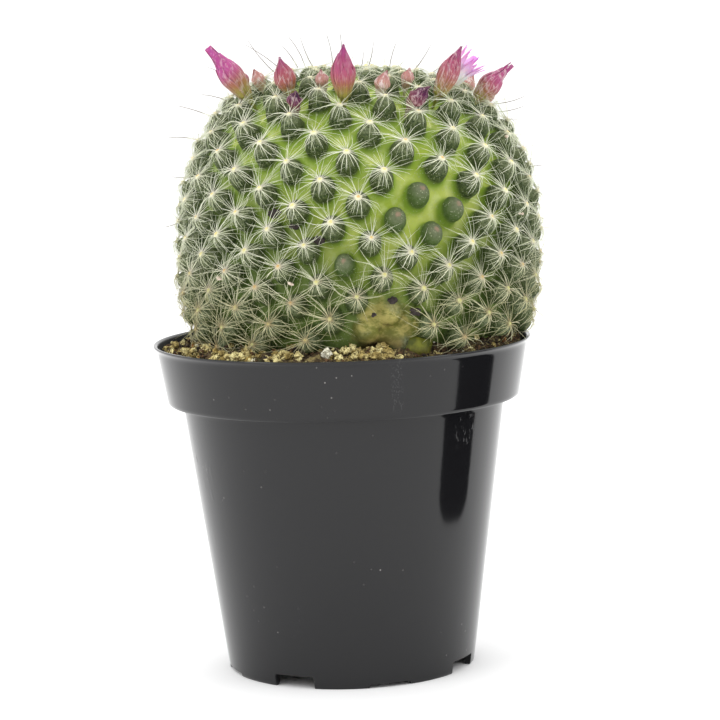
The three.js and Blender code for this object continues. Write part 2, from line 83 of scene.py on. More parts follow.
def joinPieces(pieces):
    clearSelection()
    for piece in pieces:
        piece.select_set(True)
    bpy.context.view_layer.objects.active = pieces[0]
    bpy.ops.object.join()
    return bpy.context.object


def copyOf(piece):
    copy = piece.copy()
    copy.data = piece.data.copy()
    bpy.context.collection.objects.link(copy)
    return copy


def pointsOf(piece):
    points = np.zeros(len(piece.data.vertices) * 3)
    piece.data.vertices.foreach_get("co", points)
    return points.reshape(-1, 3)


def movePoints(piece, points):
    piece.data.vertices.foreach_set("co", np.asarray(points, dtype=float).ravel())
    piece.data.update()


def addAttribute(piece, name, values):  # one value for all points, or one for each
    layer = piece.data.attributes.new(name, "FLOAT", "POINT")
    spread = np.broadcast_to(np.asarray(values, dtype=float), len(piece.data.vertices))
    layer.data.foreach_set("value", np.ascontiguousarray(spread))


def meshPiece(name, points, faces):  # for the repeats that are laid along curves
    mesh = bpy.data.meshes.new(name)
    mesh.from_pydata([tuple(point) for point in points], [], [tuple(face) for face in faces])
    piece = bpy.data.objects.new(name, mesh)
    bpy.context.collection.objects.link(piece)
    return piece


def pointNormalsOut():  # from edit mode, which it leaves
    bpy.ops.mesh.select_all(action="SELECT")
    bpy.ops.mesh.normals_make_consistent(inside=False)
    bpy.ops.object.mode_set(mode="OBJECT")


def finishPiece(piece, name, place, finish, nodes=(), smooth=True):
    piece.name = name
    piece.data.name = name
    piece.data.transform(place)
    piece.data.materials.clear()
    piece.data.materials.append(finish)
    if smooth:
        piece.data.polygons.foreach_set("use_smooth", [True] * len(piece.data.polygons))
    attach(piece, "root")
    if nodes:
        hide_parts(*nodes)
    print(name, "done:", len(piece.data.polygons), "faces")


def headingAt(turn, lean):  # turn from the front toward the right, lean from upright, in degrees
    around, off = math.radians(turn), math.radians(lean)
    return Vector((math.sin(around) * math.sin(off), -math.cos(around) * math.sin(off), math.cos(off)))


def smoothStep(low, high, value):
    share = np.clip((np.asarray(value, dtype=float) - low) / (high - low), 0, 1)
    return share * share * (3 - 2 * share)


def treeOf(points):  # finds which of the points lie nearest to a place
    tree = kdtree.KDTree(len(points))
    for index, point in enumerate(points):
        tree.insert(point, index)
    tree.balance()
    return tree


# Shader maths: a wrapped socket takes + - * and abs and gives the next one

class Wire:
    def __init__(self, finish, socket):
        self.finish = finish
        self.socket = socket

    def maths(self, operation, *values):
        return self.finish.node("ShaderNodeMath", {"operation": operation}, dict(enumerate(values)))

    def __add__(self, other):
        return self.maths("ADD", self, other)

    def __radd__(self, other):
        return self.maths("ADD", other, self)

    def __sub__(self, other):
        return self.maths("SUBTRACT", self, other)

    def __rsub__(self, other):
        return self.maths("SUBTRACT", other, self)

    def __mul__(self, other):
        return self.maths("MULTIPLY", self, other)

    def __rmul__(self, other):
        return self.maths("MULTIPLY", other, self)

    def __abs__(self):
        return self.maths("ABSOLUTE", self)

    def sine(self):
        return self.maths("SINE", self)


class Finish:
    def __init__(self, name, fixed):
        self.material = bpy.data.materials.new(name)
        self.material.use_nodes = True
        self.tree = self.material.node_tree
        self.surface = self.tree.nodes["Principled BSDF"]
        for socket, value in fixed.items():
            self.surface.inputs[socket].default_value = value
        self.place = self.node("ShaderNodeTexCoord", {}, {}, 3)  # Object coordinates

    def node(self, kind, settings, sockets, output=0):
        made = self.tree.nodes.new(kind)
        for name, value in settings.items():
            if name == "stops":
                while len(made.color_ramp.elements) < len(value):
                    made.color_ramp.elements.new(0.5)
                for element, (position, colour) in zip(made.color_ramp.elements, value):
                    element.position = position
                    element.color = (*colour, 1)
            else:
                setattr(made, name, value)
        for socket, value in sockets.items():
            if isinstance(value, Wire):
                self.tree.links.new(value.socket, made.inputs[socket])
            else:
                made.inputs[socket].default_value = value
        return Wire(self, made.outputs[output])

    def noise(self, scale, detail=3, roughness=0.5):  # a scale of three numbers draws it out along an axis
        vector = self.place
        if isinstance(scale, tuple):
            vector = self.node("ShaderNodeMapping", {}, {"Vector": self.place, "Scale": scale})
            scale = 1
        sockets = {"Vector": vector, "Scale": scale, "Detail": detail, "Roughness": roughness}
        return self.node("ShaderNodeTexNoise", {}, sockets)

    def cells(self, scale, output=0):
        return self.node("ShaderNodeTexVoronoi", {}, {"Vector": self.place, "Scale": scale}, output)

    def between(self, value, low, high):  # 0 at low, 1 at high, smooth in between
        sockets = {"Value": value, "From Min": low, "From Max": high}
        return self.node("ShaderNodeMapRange", {"interpolation_type": "SMOOTHSTEP"}, sockets)

    def window(self, value, edges):  # 1 between the inner two edges, 0 outside the outer two
        opens, opened, closes, closed = edges
        return self.between(value, opens, opened) * self.between(value, closed, closes)

    def mix(self, factor, first, second):
        first = first if isinstance(first, Wire) else (*first, 1)
        second = second if isinstance(second, Wire) else (*second, 1)
        return self.node("ShaderNodeMix", {"data_type": "RGBA"}, {0: factor, 6: first, 7: second}, 2)

    def ramp(self, value, stops):
        return self.node("ShaderNodeValToRGB", {"stops": stops}, {0: value})

    def attribute(self, name):
        return self.node("ShaderNodeAttribute", {"attribute_name": name}, {}, 2)

    def along(self, axis):  # one Object coordinate, in metres
        return self.node("ShaderNodeSeparateXYZ", {}, {0: self.place}, axis)

    def bump(self, height, strength, distance):
        sockets = {"Height": height, "Strength": strength, "Distance": distance}
        self.feed("Normal", self.node("ShaderNodeBump", {}, sockets))

    def feed(self, socket, value):
        self.tree.links.new(value.socket, self.surface.inputs[socket])


# Camera, floor and light

view = {
    "away": 645.0,  # from the pot's axis, mm
    "high": 155.7,
    "pitch": 7.29,  # degrees down
    "yaw": 0.37,
    "roll": -1.81,
    "lens": 135.8,
    "sensor": 36,
    "clip": (0.01, 20),  # metres
}


def addCamera():
    place = (potAxis.x, potAxis.y - view["away"] * mm, view["high"] * mm)
    camera = addNew(bpy.ops.object.camera_add, location=place)
    aim = Matrix.Rotation(math.radians(-view["yaw"]), 4, "Z")
    aim = aim @ Matrix.Rotation(math.radians(90 - view["pitch"]), 4, "X")
    aim = aim @ Matrix.Rotation(math.radians(view["roll"]), 4, "Z")
    camera.rotation_euler = aim.to_euler()
    camera.data.lens = view["lens"]
    camera.data.sensor_width = view["sensor"]
    camera.data.clip_start, camera.data.clip_end = view["clip"]
    bpy.context.scene.camera = camera


studio = {
    "floorSize": 80.0,
    "floorColour": (0.97, 0.97, 0.97),
    "skyColour": (1.0, 1.0, 1.0),
    "skyStrength": 1.28,
    "softboxes": [  # place, size and power of each, in metres and watts
        ((-0.75, -0.5, 0.85), 0.7, 3.0),
        ((0.8, -0.35, 0.8), 0.6, 1.6),
        ((0.0, 0.6, 1.1), 0.8, 3.0),
    ],
    "softboxAim": (0, 0, 0.1),
    "cardTurns": (36.2, 52.0),  # turns on the pot between which a dark card shows in its gloss
    "cardSwing": 5.5,
    "cardAway": (0.094, 0.6),  # from the pot's wall to the card's near and far edge
    "cardSlant": 0.008,
    "cardRound": 0.019,
    "cardHigh": 0.0005,
    "cardWall": 0.036,  # the pot's radius where the card is mirrored
}


def addStudio():
    scene = bpy.context.scene
    scene.view_settings.view_transform = "Standard"
    scene.view_settings.look = "None"
    world = bpy.data.worlds.new("studio")
    scene.world = world
    world.use_nodes = True
    sky = world.node_tree.nodes["Background"]
    sky.inputs["Color"].default_value = (*studio["skyColour"], 1)
    sky.inputs["Strength"].default_value = studio["skyStrength"]
    floor = addNew(bpy.ops.mesh.primitive_plane_add, size=studio["floorSize"])
    floor.name = "floor"
    paper = Finish("paper", {"Roughness": 0.9})
    tint = paper.mix(paper.noise(40), studio["floorColour"], [part * 0.99 for part in studio["floorColour"]])
    paper.feed("Base Color", tint)
    floor.data.materials.append(paper.material)
    for place, size, power in studio["softboxes"]:
        lamp = addNew(bpy.ops.object.light_add, type="AREA", location=place)
        lamp.data.size = size
        lamp.data.energy = power
        toward = Vector(place) - Vector(studio["softboxAim"])
        lamp.rotation_euler = toward.to_track_quat("Z", "Y").to_euler()


def addCard():
    first, last = studio["cardTurns"]
    near, far = studio["cardAway"]
    card = addNew(bpy.ops.mesh.primitive_grid_add, x_subdivisions=16, y_subdivisions=2, size=2)
    placed = []
    for across, along, _ in pointsOf(card):  # along is -1, 0 or 1: the near edge, the middle or the far edge
        turn = first + (last - first) * (across + 1) / 2
        away = near + studio["cardRound"] * across ** 4 + studio["cardSlant"] * across if along < 0 else far
        if abs(along) < 0.5:
            away = (near + far) / 2
        wall = headingAt(turn, 90) * studio["cardWall"]
        mirrored = headingAt(2 * turn + studio["cardSwing"], 90) * away
        placed.append(potAxis + wall + mirrored + up * studio["cardHigh"])
    movePoints(card, placed)
    card.name = "dark_card"
    fixed = {"Base Color": (0.002, 0.002, 0.002, 1), "Roughness": 1.0, "Specular IOR Level": 0}
    card.data.materials.append(Finish("black_card", fixed).material)
    card.visible_camera = False
    card.visible_diffuse = False
    card.visible_shadow = False
    card.visible_transmission = False


addCamera()
addStudio()
addCard()
print("camera and studio done")


# Pot: a thin-walled nursery pot, pulled up ring by ring from its floor

pot = {
    "profile": [  # radius and height of each ring, mm
        (28.0, 2.8), (28.0, 0.25), (28.25, 0.0), (29.35, 0.0), (29.6, 0.25), (29.68, 0.8),  # foot ring
        (30.82, 8.7), (30.9, 9.3), (31.0, 10.0), (38.31, 63.0), (38.45, 64.0), (38.75, 64.55),  # body
        (41.7, 64.6), (42.0, 64.85), (42.15, 65.5), (42.25, 66.1), (44.05, 76.4), (44.15, 77.0),  # collar
        (44.3, 77.55), (44.7, 78.0), (44.95, 78.25), (45.0, 78.45), (44.85, 78.65), (44.6, 78.7),  # rim
        (44.2, 78.5), (43.8, 78.0), (43.2, 77.0), (41.1, 66.3), (40.9, 65.8), (37.6, 65.7), (37.4, 65.3),
        (29.25, 4.4), (28.7, 4.0),
    ],
    "sides": 256,
    "rimRadius": 45.0,
    "rimHigh": 78.7,
    "smoothUpTo": 38,  # degrees; sharper edges stay crisp
    "notchTurns": [-27.5, 17.5, 62.5, 107.5, 152.5, 197.5, 242.5, 287.5],
    "notchHighs": [2.9, 0.9],  # a tall one and a low one by turns
    "notchAway": 29.6,
    "notchWide": 10.2,
    "notchDeep": 9.0,
    "notchRound": 0.6,
    "drainRadius": 3.0,
    "drainReach": 23.0,
    "drainDeep": 8.0,
    "insideSlope": 0.185,  # a slanted line in the collar's wall, inside which the plastic is dull
    "insideFrom": (41.6, 66),
    "insideAbove": 65.6,
}

plastic = {
    "black": ((0.006, 0.006, 0.0068), (0.0085, 0.0085, 0.0095)),
    "scuffed": (0.10, 0.10, 0.10),
    "dust": (0.22, 0.21, 0.2),
    "stripAcross": (0.0105, 0.0112, 0.0130, 0.0138),  # a rubbed strip on the collar, in metres
    "stripHigh": (0.0655, 0.068),
    "smudgeAcross": (0.0245, 0.026, 0.030, 0.0315),  # and a smudge under it
    "smudgeHigh": (0.054, 0.058, 0.062, 0.0645),
    "wornAcross": (-0.029, -0.036),  # and a worn patch on the left of the body
    "wornHigh": (0.066, 0.060),
    "roughness": 0.07,
    "insideRougher": 0.85,
}


def turnedPiece(profile, sides, firstHeight):  # a filled circle whose edge is pulled along the profile
    radius, height = profile[0][0], firstHeight
    circle = {"vertices": sides, "radius": radius, "fill_type": "TRIFAN", "location": (0, 0, height)}
    piece = addNew(bpy.ops.mesh.primitive_circle_add, **circle)
    bpy.ops.object.mode_set(mode="EDIT")
    bpy.ops.mesh.region_to_loop()
    for nextRadius, nextHeight in profile[1:]:
        lift = {"value": (0, 0, nextHeight - height)}
        bpy.ops.mesh.extrude_region_move(TRANSFORM_OT_translate=lift)
        share = nextRadius / radius
        bpy.ops.transform.resize(value=(share, share, 1))
        radius, height = nextRadius, nextHeight
    bpy.ops.mesh.extrude_region_move(TRANSFORM_OT_translate={"value": (0, 0, 0)})
    bpy.ops.mesh.merge(type="CENTER")
    pointNormalsOut()
    bpy.ops.object.transform_apply(location=True, rotation=True, scale=True)
    return piece


def notchCutters():
    cutters = []
    for count, degrees in enumerate(pot["notchTurns"]):
        place = headingAt(degrees, 90) * pot["notchAway"]
        size = (pot["notchWide"], pot["notchDeep"], pot["notchHighs"][count % 2] * 2)
        turned = {"location": place, "rotation": (0, 0, math.radians(degrees)), "scale": size}
        block = addNew(bpy.ops.mesh.primitive_cube_add, size=1, **turned)
        bpy.ops.object.transform_apply(location=True, rotation=True, scale=True)
        applyModifier(block, "BEVEL", width=pot["notchRound"], segments=3, limit_method="NONE")
        cutters.append(block)
    return joinPieces(cutters)


def drainCutters():
    cutters = []
    for degrees in pot["notchTurns"]:
        spot = headingAt(degrees, 90) * pot["drainReach"] + up * (pot["drainDeep"] / 2)
        drill = {"vertices": 32, "radius": pot["drainRadius"], "depth": pot["drainDeep"], "location": spot}
        cutters.append(addNew(bpy.ops.mesh.primitive_cylinder_add, **drill))
        bpy.ops.object.transform_apply(location=True, rotation=True, scale=True)
    return joinPieces(cutters)


def blackPlastic():
    finish = Finish("black_plastic", {"IOR": 1.44})
    across, high = finish.along(0) - potAxis.x, finish.along(2)
    dust = finish.between(finish.cells(420), 0.11, 0.05) * finish.between(finish.noise(55), 0.55, 0.72)
    strip = finish.window(across, plastic["stripAcross"]) * finish.between(high, *plastic["stripHigh"])
    strip = strip * finish.between(finish.noise(300), 0.3, 0.6)
    rubbed = finish.between(finish.cells(2300), 0.42, 0.20) * strip
    smudge = finish.window(across, plastic["smudgeAcross"]) * finish.window(high, plastic["smudgeHigh"])
    smudge = smudge * finish.between(finish.noise((900, 900, 420), 4, 0.7), 0.54, 0.66)
    worn = finish.between(finish.noise((260, 260, 170), 4, 0.65), 0.58, 0.70)
    worn = worn * finish.between(across, *plastic["wornAcross"]) * finish.between(high, *plastic["wornHigh"])
    colour = finish.mix(finish.noise(24, 4), *plastic["black"])
    colour = finish.mix(rubbed * 0.35 + smudge * 0.3, colour, plastic["scuffed"])
    colour = finish.mix(dust * 0.8, colour, plastic["dust"])
    finish.feed("Base Color", colour)
    roughness = plastic["roughness"] + finish.noise(60) * 0.04
    roughness = roughness + rubbed * 0.2 + dust * 0.3 + smudge * 0.3 + worn * 0.16
    finish.feed("Roughness", roughness + finish.attribute("inside") * plastic["insideRougher"])
    waves = finish.noise((60, 60, 20), 2)
    fine = finish.noise((1400, 1400, 300), 3, 0.6)
    finish.bump(waves * 0.35 + fine * 0.03 + worn * 0.35, 0.35, 0.0004)
    return finish.material


def makePot():
    piece = turnedPiece(pot["profile"], pot["sides"], pot["profile"][0][1])
    for cutters in (notchCutters(), drainCutters()):
        applyModifier(piece, "BOOLEAN", object=cutters, operation="DIFFERENCE", solver="EXACT")
        bpy.data.objects.remove(cutters)
    points = pointsOf(piece)
    radius, height = pot["insideFrom"]
    wall = np.hypot(points[:, 0], points[:, 1]) - pot["insideSlope"] * (points[:, 2] - height)
    addAttribute(piece, "inside", (wall < radius) * (points[:, 2] > pot["insideAbove"]))
    pick(piece)
    bpy.ops.object.shade_smooth_by_angle(angle=math.radians(pot["smoothUpTo"]))
    finishPiece(piece, "pot_moulding", potPlace, blackPlastic(), ["pot"], smooth=False)


makePot()


# The globe on which the plant's areoles lie, in millimetres from the middle of the pot's rim

plant = {
    "x": 3.2,
    "lean": 2.5,
    "radius": 43.3,
    "middle": 21.3,
    "crownHigh": 44.5,  # from the middle up to the crown
    "deep": 38.5,  # and down to the foot
    "roundness": 2.7,
    "outlineSteps": 900,
    "outlineSweep": 150,  # degrees from the crown
    "tubercleHigh": 6.8,
    "lift": 1.5,
    "youngReach": 10.0,
    "goldenTurn": 137.529,
    "firstTurn": 238.58,
    "firstReach": 0.57,  # how far down the globe a tubercle lies is a cubic rule of its number
    "crownStep": 0.6513,
    "stepSlows": 2.0848e-3,
    "stepBend": 3.4965e-6,
    "first": 5,
    "last": 330,
    "lowestAreole": 2.3,
    "fullShare": 75.0,  # the skin that a full-grown tubercle takes, in square mm
    "sunkAt": [0, 30, 48, 62, 85, 97],  # how far the tips lie inside the plain globe, by reach
    "sunkLeft": [1.3, 1.4, 1.7, 0.8, 0.7, 1.5],
    "sunkRight": [1.3, 1.2, 0.5, -0.5, -0.5, 0.0],
    "bare": [122, 135, 143, 156, 185],
    "corky": [232, 253, 266],
}
onRim = Matrix.Translation((plant["x"], 0, pot["rimHigh"]))
stand = onRim @ Matrix.Rotation(math.radians(plant["lean"]), 4, "Y")
plantPlace = potPlace @ stand


def outlineRows():  # radius, height and reach of each step down the globe
    rows = [(0.0, plant["middle"] + plant["crownHigh"], 0.0)]
    for step in range(1, plant["outlineSteps"] + 1):
        angle = math.radians(plant["outlineSweep"]) * step / plant["outlineSteps"]
        half = plant["crownHigh"] if math.cos(angle) > 0 else plant["deep"]
        across = abs(math.sin(angle) / plant["radius"]) ** plant["roundness"]
        along = abs(math.cos(angle) / half) ** plant["roundness"]
        ray = (across + along) ** (-1 / plant["roundness"])
        radius, height = ray * math.sin(angle), plant["middle"] + ray * math.cos(angle)
        length = math.hypot(radius - rows[-1][0], height - rows[-1][1])
        rows.append((radius, height, rows[-1][2] + length))
    return np.array(rows)


outline = outlineRows()


def radiusAt(reach):
    return float(np.interp(reach, outline[:, 2], outline[:, 0]))


def globeAt(reach, turn):
    radius = radiusAt(reach)
    height = float(np.interp(reach, outline[:, 2], outline[:, 1]))
    rise = height - plant["middle"]
    half = plant["crownHigh"] if rise > 0 else plant["deep"]
    outward = headingAt(turn, 90)
    across = (radius / plant["radius"]) ** (plant["roundness"] - 1) / plant["radius"]
    along = math.copysign(abs(rise / half) ** (plant["roundness"] - 1) / half, rise)
    normal = (outward * across + up * along).normalized()
    return outward * radius + up * height, normal


def reliefAt(reach):  # how high the tubercles stand over the valleys
    return plant["tubercleHigh"] * (1 - math.exp(-(reach + 2) / plant["youngReach"]))


def skinAt(reach, turn, depth=1.0):
    point, normal = globeAt(reach, turn)
    return point - normal * reliefAt(reach) * depth


def sprout(number):
    slowed = plant["crownStep"] * number - plant["stepSlows"] * number ** 2
    reach = plant["firstReach"] + slowed + plant["stepBend"] * number ** 3
    return reach, plant["firstTurn"] - plant["goldenTurn"] * number


# Soil, in millimetres from the pot's axis

soil = {
    "middle": 76.9,
    "fall": 0.9,  # how much higher it lies at the rim on its high side
    "highTurn": 25,
    "rise": 0.6,
    "riseWide": 12,
    "swells": 0.3,
    "mound": 1.7,  # how far the loose mix is heaped against the stem
    "moundFrom": (43, 35),
    "moundBack": 0.55,  # the share of the mound that lies behind the stem too
    "frontFrom": (20, -35),
    "lumps": 0.75,
    "clods": 0.8,
    "clodWide": 1.5,
    "outside": 42.6,
    "inside": 27.5,
    "rings": 36,
    "sides": 512,
    "walls": [(28.4, 4.3), (36.9, 65.9), (40.4, 66.0)],  # radius and height, just inside the pot
    "sinks": 9.0,  # under the stem
    "brown": ((0.018, 0.012, 0.007), (0.13, 0.085, 0.035)),
    "pale": (0.38, 0.30, 0.12),
    "mossy": (0.08, 0.10, 0.02),
}


def soilHeight(x, y):
    radius = math.hypot(x, y)
    high = headingAt(soil["highTurn"], 90)
    slope = soil["fall"] * (x * high.x + y * high.y) / pot["rimRadius"]
    toStem = min(1.0, max(0.0, (pot["rimRadius"] - radius) / soil["riseWide"]))
    swells = math.sin(x * 0.9 + 1) * math.sin(y * 0.8) + math.sin(x * 0.45 - y * 0.6)
    return soil["middle"] + slope + soil["rise"] * toStem + soil["swells"] * swells


def loamHeight(x, y):  # the shown surface: the plain soil with its mound and its crumbs
    near = float(smoothStep(*soil["moundFrom"], math.hypot(x, y)))
    front = soil["moundBack"] + (1 - soil["moundBack"]) * float(smoothStep(*soil["frontFrom"], y))
    place = Vector((x, y, 0))
    lumps = noise.fractal(place * 0.42, 0.8, 2.1, 4) * 0.9 + abs(noise.noise(place * 1.1)) * 0.8
    clod = max(0.0, 0.5 - noise.voronoi(place / soil["clodWide"])[0][0] ** 1.5)
    return soilHeight(x, y) + soil["mound"] * near * front + soil["lumps"] * lumps + soil["clods"] * clod


def makeTubercles():
    made = []
    for number in range(plant["first"], plant["last"] + 1):
        reach, turn = sprout(number)
        areole, normal = globeAt(reach, turn)
        toLeft = 0.5 - 0.5 * math.sin(math.radians(turn))
        sunk = [float(np.interp(reach, plant["sunkAt"], plant[part])) for part in ("sunkRight", "sunkLeft")]
        areole = areole - normal * (sunk[0] + (sunk[1] - sunk[0]) * toLeft)
        inPot = stand @ areole
        if inPot.z <= soilHeight(inPot.x, inPot.y) + plant["lowestAreole"]:
            continue
        step = plant["crownStep"] - 2 * plant["stepSlows"] * number + 3 * plant["stepBend"] * number ** 2
        growth = min(1.0, math.sqrt(2 * math.pi * radiusAt(reach) * step / plant["fullShare"]))
        side = headingAt(turn + 90, 90)
        down = side.cross(normal) * -1
        if down.z > 0:
            down = down * -1
        made.append({
            "number": number, "reach": reach, "turn": turn, "growth": growth,
            "areole": areole, "normal": normal, "down": down.normalized(), "side": side,
            "bare": number in plant["bare"], "corky": number in plant["corky"],
        })
    return made


# Stem: a core with a thumb for each tubercle, fused into one skin

stem = {
    "capWide": 2.75,  # half the width, height and depth of a thumb's rounded end, mm
    "capTall": 3.2,
    "capDeep": 4.2,
    "areoleUp": 1.35,  # how far the areole lies above the middle of the thumb's end
    "varies": (0.94, 1.05),
    "footWider": 1.12,
    "footDown": 2.2,
    "footSunk": 1.2,
    "bareSize": 0.97,
    "skinDepth": 0.9,
    "corkyLow": 3.5,
    "corkyBroad": 1.3,
    "corkyWide": 9.0,
    "coreReach": 112.0,
    "rootShare": 0.2,  # the last part of the core draws in under the soil
    "rootRadius": 26.0,
    "rootDeep": 13.0,
    "voxel": 0.75,
    "seed": 5,
}

skin = {  # where there are two colours, they are the ends of a blend
    "valley": ((0.56, 0.62, 0.14), (0.35, 0.44, 0.05)),
    # the skin's own whitish veil on the valleys, also used as painted light toward the left
    "valleyMistAndLight": (0.72, 0.77, 0.42),
    # painted shade: the colours of the valleys and flanks where the stem lies in shade
    "shadedValley": (0.13, 0.19, 0.045),
    "flank": ((0.15, 0.25, 0.022), (0.25, 0.37, 0.044)),
    "shadedFlank": (0.060, 0.10, 0.020),
    "shadeHigh": (0.078, 0.112),  # metres; painted shade: the stem is painted in shade below the first height and unshaded above the second
    "cap": ((0.018, 0.031, 0.008), (0.092, 0.120, 0.040)),
    "freshCap": (0.032, 0.066, 0.010),
    "bareCap": ((0.048, 0.088, 0.014), (0.088, 0.105, 0.052)),
    "bareGrain": (0.13, 0.16, 0.085),
    "bloom": (0.26, 0.28, 0.17),
    "flecks": (0.35, 0.38, 0.24),
    "scar": (0.27, 0.17, 0.12),
    "bark": ((0.15, 0.155, 0.028), (0.41, 0.36, 0.115)),
    "barkFoot": (0.12, 0.085, 0.035),
    "barkFootHigh": (0.0845, 0.0805),
    "barkCracks": (0.07, 0.045, 0.02),
}


def shapeTubercles(tubercles):
    chance = random.Random(stem["seed"])
    for tubercle in tubercles:
        growth = tubercle["growth"]
        size = growth * chance.uniform(*stem["varies"]) * (stem["bareSize"] if tubercle["bare"] else 1)
        shift = stem["areoleUp"] * size
        normal = tubercle["normal"]
        low = stem["corkyLow"] if tubercle["corky"] else 0
        deep = stem["capDeep"] * size * math.sqrt(1 - (stem["areoleUp"] / stem["capTall"]) ** 2) + low
        tubercle["size"] = size
        tubercle["top"] = tubercle["areole"].copy()
        tubercle["radius"] = stem["capWide"] * size * (stem["corkyBroad"] if tubercle["corky"] else 1)
        tubercle["middle"] = tubercle["areole"] + tubercle["down"] * shift - normal * deep
        tubercle["areole"] = tubercle["areole"] - normal * low
        slide = plant["lift"] * min(1, tubercle["reach"] / plant["youngReach"]) + stem["footDown"]
        foot = skinAt(tubercle["reach"] + slide, tubercle["turn"])
        tubercle["foot"] = foot - normal * stem["footSunk"]
        slope = shift / (stem["capTall"] * size) ** 2
        steep = (deep - low) / (stem["capDeep"] * size) ** 2
        tubercle["axis"] = (normal * steep - tubercle["down"] * slope).normalized()


def thumbPoints(ball, tubercle):  # a unit ball drawn out into a thumb from the core to the areole
    radius = tubercle["radius"]
    tall = stem["capTall"] / stem["capWide"]
    middle, foot = np.array(tubercle["middle"]), np.array(tubercle["foot"])
    side, down, normal = (np.array(tubercle[name]) for name in ("side", "down", "normal"))
    flat = ball[:, :2]
    length = np.linalg.norm(flat, axis=1)
    length = np.where(length < 0.02, 1e6, length)  # the poles stay on the thumb's line
    below = np.clip(-ball[:, 2], 0, 1)
    grown = radius * (1 + (stem["footWider"] - 1) * below)
    column = flat / length[:, None] * grown[:, None]
    spread = np.where(ball[:, 2:3] >= 0, flat * radius, column)
    lift = np.clip(ball[:, 2], 0, 1) * stem["capDeep"] * tubercle["size"]
    centre = middle + (foot - middle) * below[:, None]
    return centre + spread[:, :1] * side + spread[:, 1:2] * down * tall + lift[:, None] * normal


def addCore():
    core = addNew(bpy.ops.mesh.primitive_uv_sphere_add, segments=96, ring_count=64, radius=1)
    ball = pointsOf(core)
    lean = np.arccos(np.clip(ball[:, 2], -1, 1)) / math.pi
    turn = np.degrees(np.arctan2(ball[:, 0], -ball[:, 1]))
    lowest, shown = stem["coreReach"], 1 - stem["rootShare"]
    moved = []
    for share, way in zip(lean, turn):
        if share <= shown:
            moved.append(skinAt(lowest * share / shown, way, stem["skinDepth"]))
        else:
            shrink = (1 - share) / stem["rootShare"]
            edge = skinAt(lowest, way, stem["skinDepth"])
            root = headingAt(way, 90) * stem["rootRadius"] * math.sqrt(max(0, shrink))
            level = -stem["rootDeep"] + (edge.z + stem["rootDeep"]) * max(0, shrink - 0.5) * 2
            wide = (edge.xy.length - stem["rootRadius"]) * max(0, shrink - 0.5) * 2
            moved.append(root + headingAt(way, 90) * wide + up * level)
    movePoints(core, moved)
    return core


def gapTo(tubercle, point):  # from the line up the middle of a tubercle
    line = tubercle["middle"] - tubercle["foot"]
    along = (point - tubercle["foot"]).dot(line) / line.length_squared
    return (point - tubercle["foot"] - line * min(1, max(0, along))).length


def stemShading(piece, tubercles):  # what the finish needs to know at each point of the skin
    tree = treeOf([tubercle["middle"].lerp(tubercle["foot"], 0.3) for tubercle in tubercles])
    corky = [tubercle["middle"] for tubercle in tubercles if tubercle["corky"]]
    corkyMiddle = sum(corky, Vector()) / len(corky)
    rows = []
    for vertex in piece.data.vertices:
        place = vertex.co
        closest = [tubercles[index] for _, index, _ in tree.find_n(place, 4)]
        tubercle = min(closest, key=lambda each: gapTo(each, place))
        rise = 1 + (place - tubercle["top"]).dot(tubercle["normal"]) / reliefAt(tubercle["reach"])
        near = (place - tubercle["areole"]).length
        patch = (place - corkyMiddle).length / stem["corkyWide"]
        rows.append((rise, near, tubercle["bare"], patch, tubercle["number"] * 0.618 % 1))
    for name, column in zip(("rise", "near", "bare", "corky", "chance"), np.array(rows, dtype=float).T):
        addAttribute(piece, name, column)


